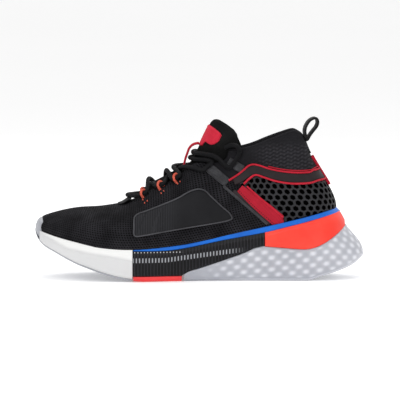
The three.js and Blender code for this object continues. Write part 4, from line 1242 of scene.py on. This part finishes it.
turns = np.linspace(-1, 1, tongueSetup["columns"])
outer = []
for x in np.linspace(-61, -19, tongueSetup["lowRows"]):
    row = []
    for turn in turns:
        y = float(spineY(x)) + turn * (float(throatHalf(x)) + 3.5)
        hit = hullTree.ray_cast(Vector((x, y, 200)), Vector((0, 0, -1)))
        spot, up = np.array(hit[0]), np.array(hit[1])
        swell = tongueSetup["crown"] * max(0, 1 - (turn / 0.8) ** 2) * float(ease(x, -64, -50))
        row.append(spot + up * np.sign(up[2]) * (swell - tongueSetup["tuck"]))
    outer.append(row)
ends = np.array([tongueTop(turn) for turn in turns])
for k in np.linspace(0, 1, tongueSetup["highRows"]):
    outer.append([tonguePoint(np.array(mix(100, end, k)), turn, 0.0)
        for turn, end in zip(turns, ends)])
outer = np.array(outer)
count = len(outer)
inward = np.cross(np.gradient(outer, axis=0), np.gradient(outer, axis=1))
inward /= np.maximum(np.linalg.norm(inward, axis=2, keepdims=True), 1e-9)
if inward[count // 2, len(turns) // 2, 0] < 0:
    inward = -inward
share = np.linspace(0, 1, count)
deep = mix(tongueSetup["thick"], tongueSetup["topThick"], ease(share, 0.6, 0.9))
rounded = roundEnd(np.clip((1 - np.abs(turns)) * 7, 0, 1)) * 0.85 + 0.15
endRound = roundEnd(np.clip((1 - share) * 16, 0, 1)) * 0.8 + 0.2
depth = deep[:, None] * rounded[None] * endRound[:, None]
centreSheet = outer + inward * (deep / 2)[:, None, None]
front = centreSheet - inward * depth[..., None] / 2
rear = centreSheet + inward * depth[..., None] / 2
quilt = np.sin(np.clip(share * 6 - 3.6, 0, 2.4) / 2.4 * math.pi)[:, None] * (1 - turns**2)[None]
rear = rear + inward * (0.8 * quilt)[..., None]
rings = np.concatenate([front, rear[:, ::-1]], 1)
tongue = sweptPiece("paddedTongue", rings, tongueFinish, gridCloth(rings))
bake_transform(tongue)
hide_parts("tongue_base", "tongue_flap")

patchHigh = straightLine([[-8, 119.8], [-4, 128], [2, 137.2], [5.5, 139.4], [8.6, 139.2],
    [14, 136], [19, 132], [20.6, 129]])
patchLow = straightLine([[-8, 119.8], [2.6, 119.8], [3.4, 121.2], [5.6, 123.6], [8, 121.8],
    [11, 120.7], [14.5, 121.8], [18.4, 125], [20.6, 128.8]])
columns = []
for turn in np.linspace(-0.8, 0.8, 61):
    z = np.linspace(119.4, 141, 220)
    x = tonguePoint(z, turn, 0.0)[..., 0]
    held = (z <= patchHigh(x)) & (z >= patchLow(x)) & (x < 20.6)
    if held.any() and z[held][-1] - z[held][0] > 1.5:
        columns.append((turn, z[held][0], z[held][-1]))
rows = 36
patchPoints, patchCloth = [], []
for i, (turn, low, high) in enumerate(columns):
    for k in np.linspace(0, 1, rows):
        edge = min(i, len(columns) - 1 - i) * 0.8
        inside = min(edge, (high - low) * min(k, 1 - k))
        out = 0.25 + 0.75 * float(roundEnd(min(1,
            inside / 0.9))) + 0.35 * math.exp(-((inside - 1.4) / 0.6) ** 2)
        z = mix(low, high, k)
        patchPoints.append(tonguePoint(np.array(z), turn, out))
        patchCloth.append((turn * 25, z))
patch = meshPiece("tonguePatch", patchPoints, gridFaces(len(columns), rows), patchCloth,
    patchFinish)
thicken(patch, 0.9)
finishPiece(patch, "tongue_top", ["tongue_patch"])

keeperLine = evenPath(smoothPath([
    [-14.2, 100.4], [-13.4, 104.5], [-12.4, 108.5], [-10.9, 112.6], [-9.4, 116.6], [-6.4, 120.0],
    [-2.8, 121.4], [-0.4, 121.6]], 8), 0.7)
keeperRings = []
direction = np.gradient(keeperLine, axis=0)
direction /= np.linalg.norm(direction, axis=1)[:, None]
for (x, z), (dx, dz) in zip(keeperLine, direction):
    ring = []
    for across, out in ((-4.6, 0), (-4.4, 0.9), (-3.4, 1.2), (0, 1.25), (3.4, 1.2), (4.4, 0.9),
            (4.6, 0), (4.4, -0.8), (0, -0.95), (-4.4, -0.8)):
        ring.append((x - dz * out, across, z + dx * out))
    keeperRings.append(ring)
keeper = sweptPiece("laceKeeper", keeperRings, pipingFinish)
finishPiece(keeper, "shoe", ["lace_keeper"])
print("tongue made")

laceRoute = [
    [23, -19, 118.8], [29, -21.6, 121.4], [34.5, -24.4, 119.8], [36.2, -25.4, 114.5],
    [33.6, -25, 109.5], [30.4, -24.9, 104.6], [27.6, -24.8, 101.6], [24.2, -24.4, 102.6],
    [17, -22.4, 109.2], [12, -21.2, 111.8], [5, -18.6, 112.9], [-1.8, -12.4, 113.3],
    [-5.8, 0, 113.4], [-4.8, 10.6, 113.9], [-1, 19, 112.8], [3, 22.6, 109.6], [7.6, 22.6, 107.4],
    [11.4, 21, 105.6], [7.4, 21.4, 102], [3, 24, 99.2], [-5.3, 21.9, 100.9], [-12.7, 15.3, 101],
    [-23.7, 0.3, 100.5], [-18.2, -22.2, 94.2], [-22.9, -21.9, 90.3], [-30, 0.8, 97.2],
    [-32.8, 23, 83.3], [-37.1, 22.9, 81.9], [-45.9, 1.4, 89.6], [-48.3, -20.5, 78.7],
    [-52.6, -20.1, 76], [-58.8, -13.6, 74.9], [-65.4, 2, 74.6], [-58.8, 16.7, 74.6],
    [-52.4, 22.8, 75.1], [-48.1, 23, 77.6], [-43.2, 1.4, 85.4], [-37.4, -20.9, 84.1],
    [-33.1, -21.3, 86.2], [-27.9, 0.8, 92.9], [-26, 14, 92.8], [-23.2, 23.2, 86.8],
    [-18.2, 23.4, 90], [-19, 17, 94.2], [-21, 0.3, 96.6], [-14, -15.4, 101.4],
    [-5.4, -23.6, 101], [3, -25.2, 99.2], [7.3, -23.4, 102.3], [11.2, -21.2, 105.8],
    [7, -20.2, 107.6], [2, -16.9, 107.9], [-3.8, -13.2, 108], [-8.7, 0, 108.8], [-3.6, 13, 109.3],
    [1.5, 16.9, 110], [6, 18.8, 110.6], [12, 20.4, 110.4], [18, 22, 107],
    [24.2, 23.4, 102.6], [27.6, 23.8, 101.6], [30.4, 24, 104.6], [33.6, 24.3, 109.5],
    [36.2, 24.7, 114.5], [34.5, 24, 119.8], [29, 21.6, 121.4], [23, 19, 118.8]]
laceSetup = {"radius": 2.0, "step": 0.9, "sides": 14}
lacePath = evenPath(smoothPath(laceRoute, 6), laceSetup["step"])
lace = tubePiece("roundLace", lacePath, laceSetup["radius"], laceFinish, laceSetup["sides"])
finishPiece(lace, "shoe", ["lace"])

loopSetup = {
    "lateral": [[-50.4, -20.6, 77.4], [-35.2, -21.4, 85], [-20.9, -22.3, 91.8]],
    "medial": [[-50.2, 23.2, 76.4], [-35, 23.2, 82.6], [-20.5, 23.6, 88.4]],
    "reach": 3.6, "radius": 1.1, "twist": math.radians(40),
}
along = np.array([14.8, -1, 8.5]) / np.linalg.norm([14.8, -1, 8.5])
for side, name in sides:
    outWay = np.array([-0.45, side * (0.33 if side < 0 else 0.5), 0.83])
    aside = np.cross(along, outWay)
    aside /= np.linalg.norm(aside)
    up = np.cross(aside, along)
    for i, at in enumerate(loopSetup[name]):
        turn = np.radians(np.linspace(-26, 206, 15))
        across = aside * math.cos(loopSetup["twist"]) - along * math.sin(loopSetup["twist"])
        arc = np.array(at) + loopSetup["reach"] * (np.cos(turn)[:,
            None] * across + np.sin(turn)[:, None] * up)
        legs = []
        for end in (arc[0], arc[-1]):
            spot, normal = nearSpot(end - up * 3)
            legs.append(spot - normal * 0.6)
        path = np.vstack([legs[0], arc, legs[1]])
        loop = tubePiece(f"eyeletCord.{name}.{i + 1}", evenPath(smoothPath(path, 4), 0.5),
            loopSetup["radius"], cordFinish, 10)
        finishPiece(loop, "shoe", [f"eyelet_loop_{name}_{i + 1}"])
        for n, (x, z) in enumerate(([-51, 72], [-49.3, 69.6], [-47, 71.4])):
            spot, normal = sideSpot(x + 14.8 * i, z + 8.5 * i - (1.5 if side > 0 else 0), side)
            stitchPath = [spot + aside * k + normal * h for k,
                h in ((-0.95, 0.0), (-0.6, 0.45), (0, 0.6), (0.6, 0.45), (0.95, 0.0))]
            stitch = tubePiece(f"eyeletStitch.{name}.{i + 1}.{n + 1}", stitchPath, 0.5,
                cordFinish, 8)
            finishPiece(stitch, "shoe")

pullMiddle = [[97.0, 124.6], [99.6, 129.0], [102.7, 133.2], [105.9, 137.4], [106.9, 141.2],
    [105.3, 144.6], [101.2, 143.6], [97.9, 140.4], [95.6, 135.6], [95.3, 131.4], [96.4, 127.6]]
loopLine = evenPath(smoothPath(pullMiddle, 8, True), 1.0, True)
turnWay = np.roll(loopLine, -1, 0) - np.roll(loopLine, 1, 0)
turnWay /= np.linalg.norm(turnWay, axis=1)[:, None]
rings = []
for (x, z), (dx, dz) in zip(loopLine, turnWay):
    ring = []
    for across, out in ((-5, 0), (-4.9, 0.55), (-4.3, 0.78), (-2.2, 0.7), (0, 0.78), (2.2, 0.7),
            (4.3, 0.78), (4.9, 0.55), (5, 0), (4.9, -0.55), (4.3, -0.78), (0, -0.74),
            (-4.3, -0.78), (-4.9, -0.55)):
        ring.append((x - dz * out * 1.35 - 0.17 * across, across, z + dx * out * 1.35))
    rings.append(ring)
pullLoop = sweptPiece("pullLoop", rings, loopWebbing, closed=True)
finishPiece(pullLoop, "pull_loop", ["pull_loop"])

# the rubber toe bumper rises in front of the knit
bumperSetup = {"low": 31.0, "high": 54.0, "lateral": 15.5, "medial": 12.5, "deep": 6.5,
    "lateralCurve": 50, "medialCurve": 37.5, "topDrop": 3.5, "tipBack": 2.6}
bumperNose = straightLine([[30, 8.5], [32, 6.0], [35.5, 2.2], [39, 0.6], [42.5, 0], [47.5, 0.5],
    [51, 2.0], [53, 3.6], [54, 5.4]])
bumperY = np.linspace(-bumperSetup["lateral"], bumperSetup["medial"], 61)
bumperRings = []
for y in bumperY:
    half = bumperSetup["lateralCurve" if y < 0 else "medialCurve"]
    plan = soleToeX + 0.15 + toeRound * (1 - math.sqrt(1 - (y / half) ** 2))
    end = bumperSetup["lateral" if y < 0 else "medial"]
    tip = float(roundEnd(np.clip((1 - abs(y) / end) * 7, 0, 1)))
    top = bumperSetup["high"] - bumperSetup["topDrop"] * (abs(y) / end) ** 2
    z = np.linspace(bumperSetup["low"], top, 30)
    front = plan + bumperNose(z) + bumperSetup["tipBack"] * (1 - tip)
    level = spineY(-145.0) + y
    outerSide = [(x, level, h) for x, h in zip(front, z)]
    innerSide = [(min(plan + bumperSetup["deep"], -137), level, h) for h in z[::-1]]
    bumperRings.append(outerSide + innerSide)
bumper = sweptPiece("toeBumper", bumperRings, greyRubber)
finishPiece(bumper, "forefoot")

# the film patch in front of the throat
throatSetup = {"rows": 18, "columns": 26, "half": 15.5, "out": 0.9, "swell": 2.4, "thick": 0.8}
throatTop = []
for x in np.linspace(-74, -60.5, throatSetup["rows"]):
    row = []
    for k in np.linspace(-1, 1, throatSetup["columns"]):
        reach = throatSetup["half"] * float(roundEnd(np.clip((x + 75.5) / 9, 0, 1)))
        y = float(spineY(x)) + k * reach
        hit = hullTree.ray_cast(Vector((x, y, 200)), Vector((0, 0, -1)))
        spot, up = np.array(hit[0]), np.array(hit[1]) * np.sign(hit[1][2])
        row.append(spot + up * (throatSetup["out"] + throatSetup["swell"] * float(ease(x, -73,
            -62))))
    throatTop.append(row)
throatTop = np.array(throatTop)
throatFilm = meshPiece("throatPatch", throatTop.reshape(-1, 3), gridFaces(*throatTop.shape[:2]),
    gridCloth(throatTop), filmFinish)
thicken(throatFilm, throatSetup["thick"])
finishPiece(throatFilm, "shoe", ["throat_patch"])
print("lace, loops and patch made")

# the hidden solids only get finishes
keptFinishes = {
    "midsole_core": whiteFoam, "insole_board": boardFinish, "forefoot_board": boardFinish,
    "toe_puff": stiffFinish, "heel_counter": stiffFinish,
}
for node, finish in keptFinishes.items():
    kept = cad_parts[node]
    kept.data.materials.clear()
    kept.data.materials.append(finish)
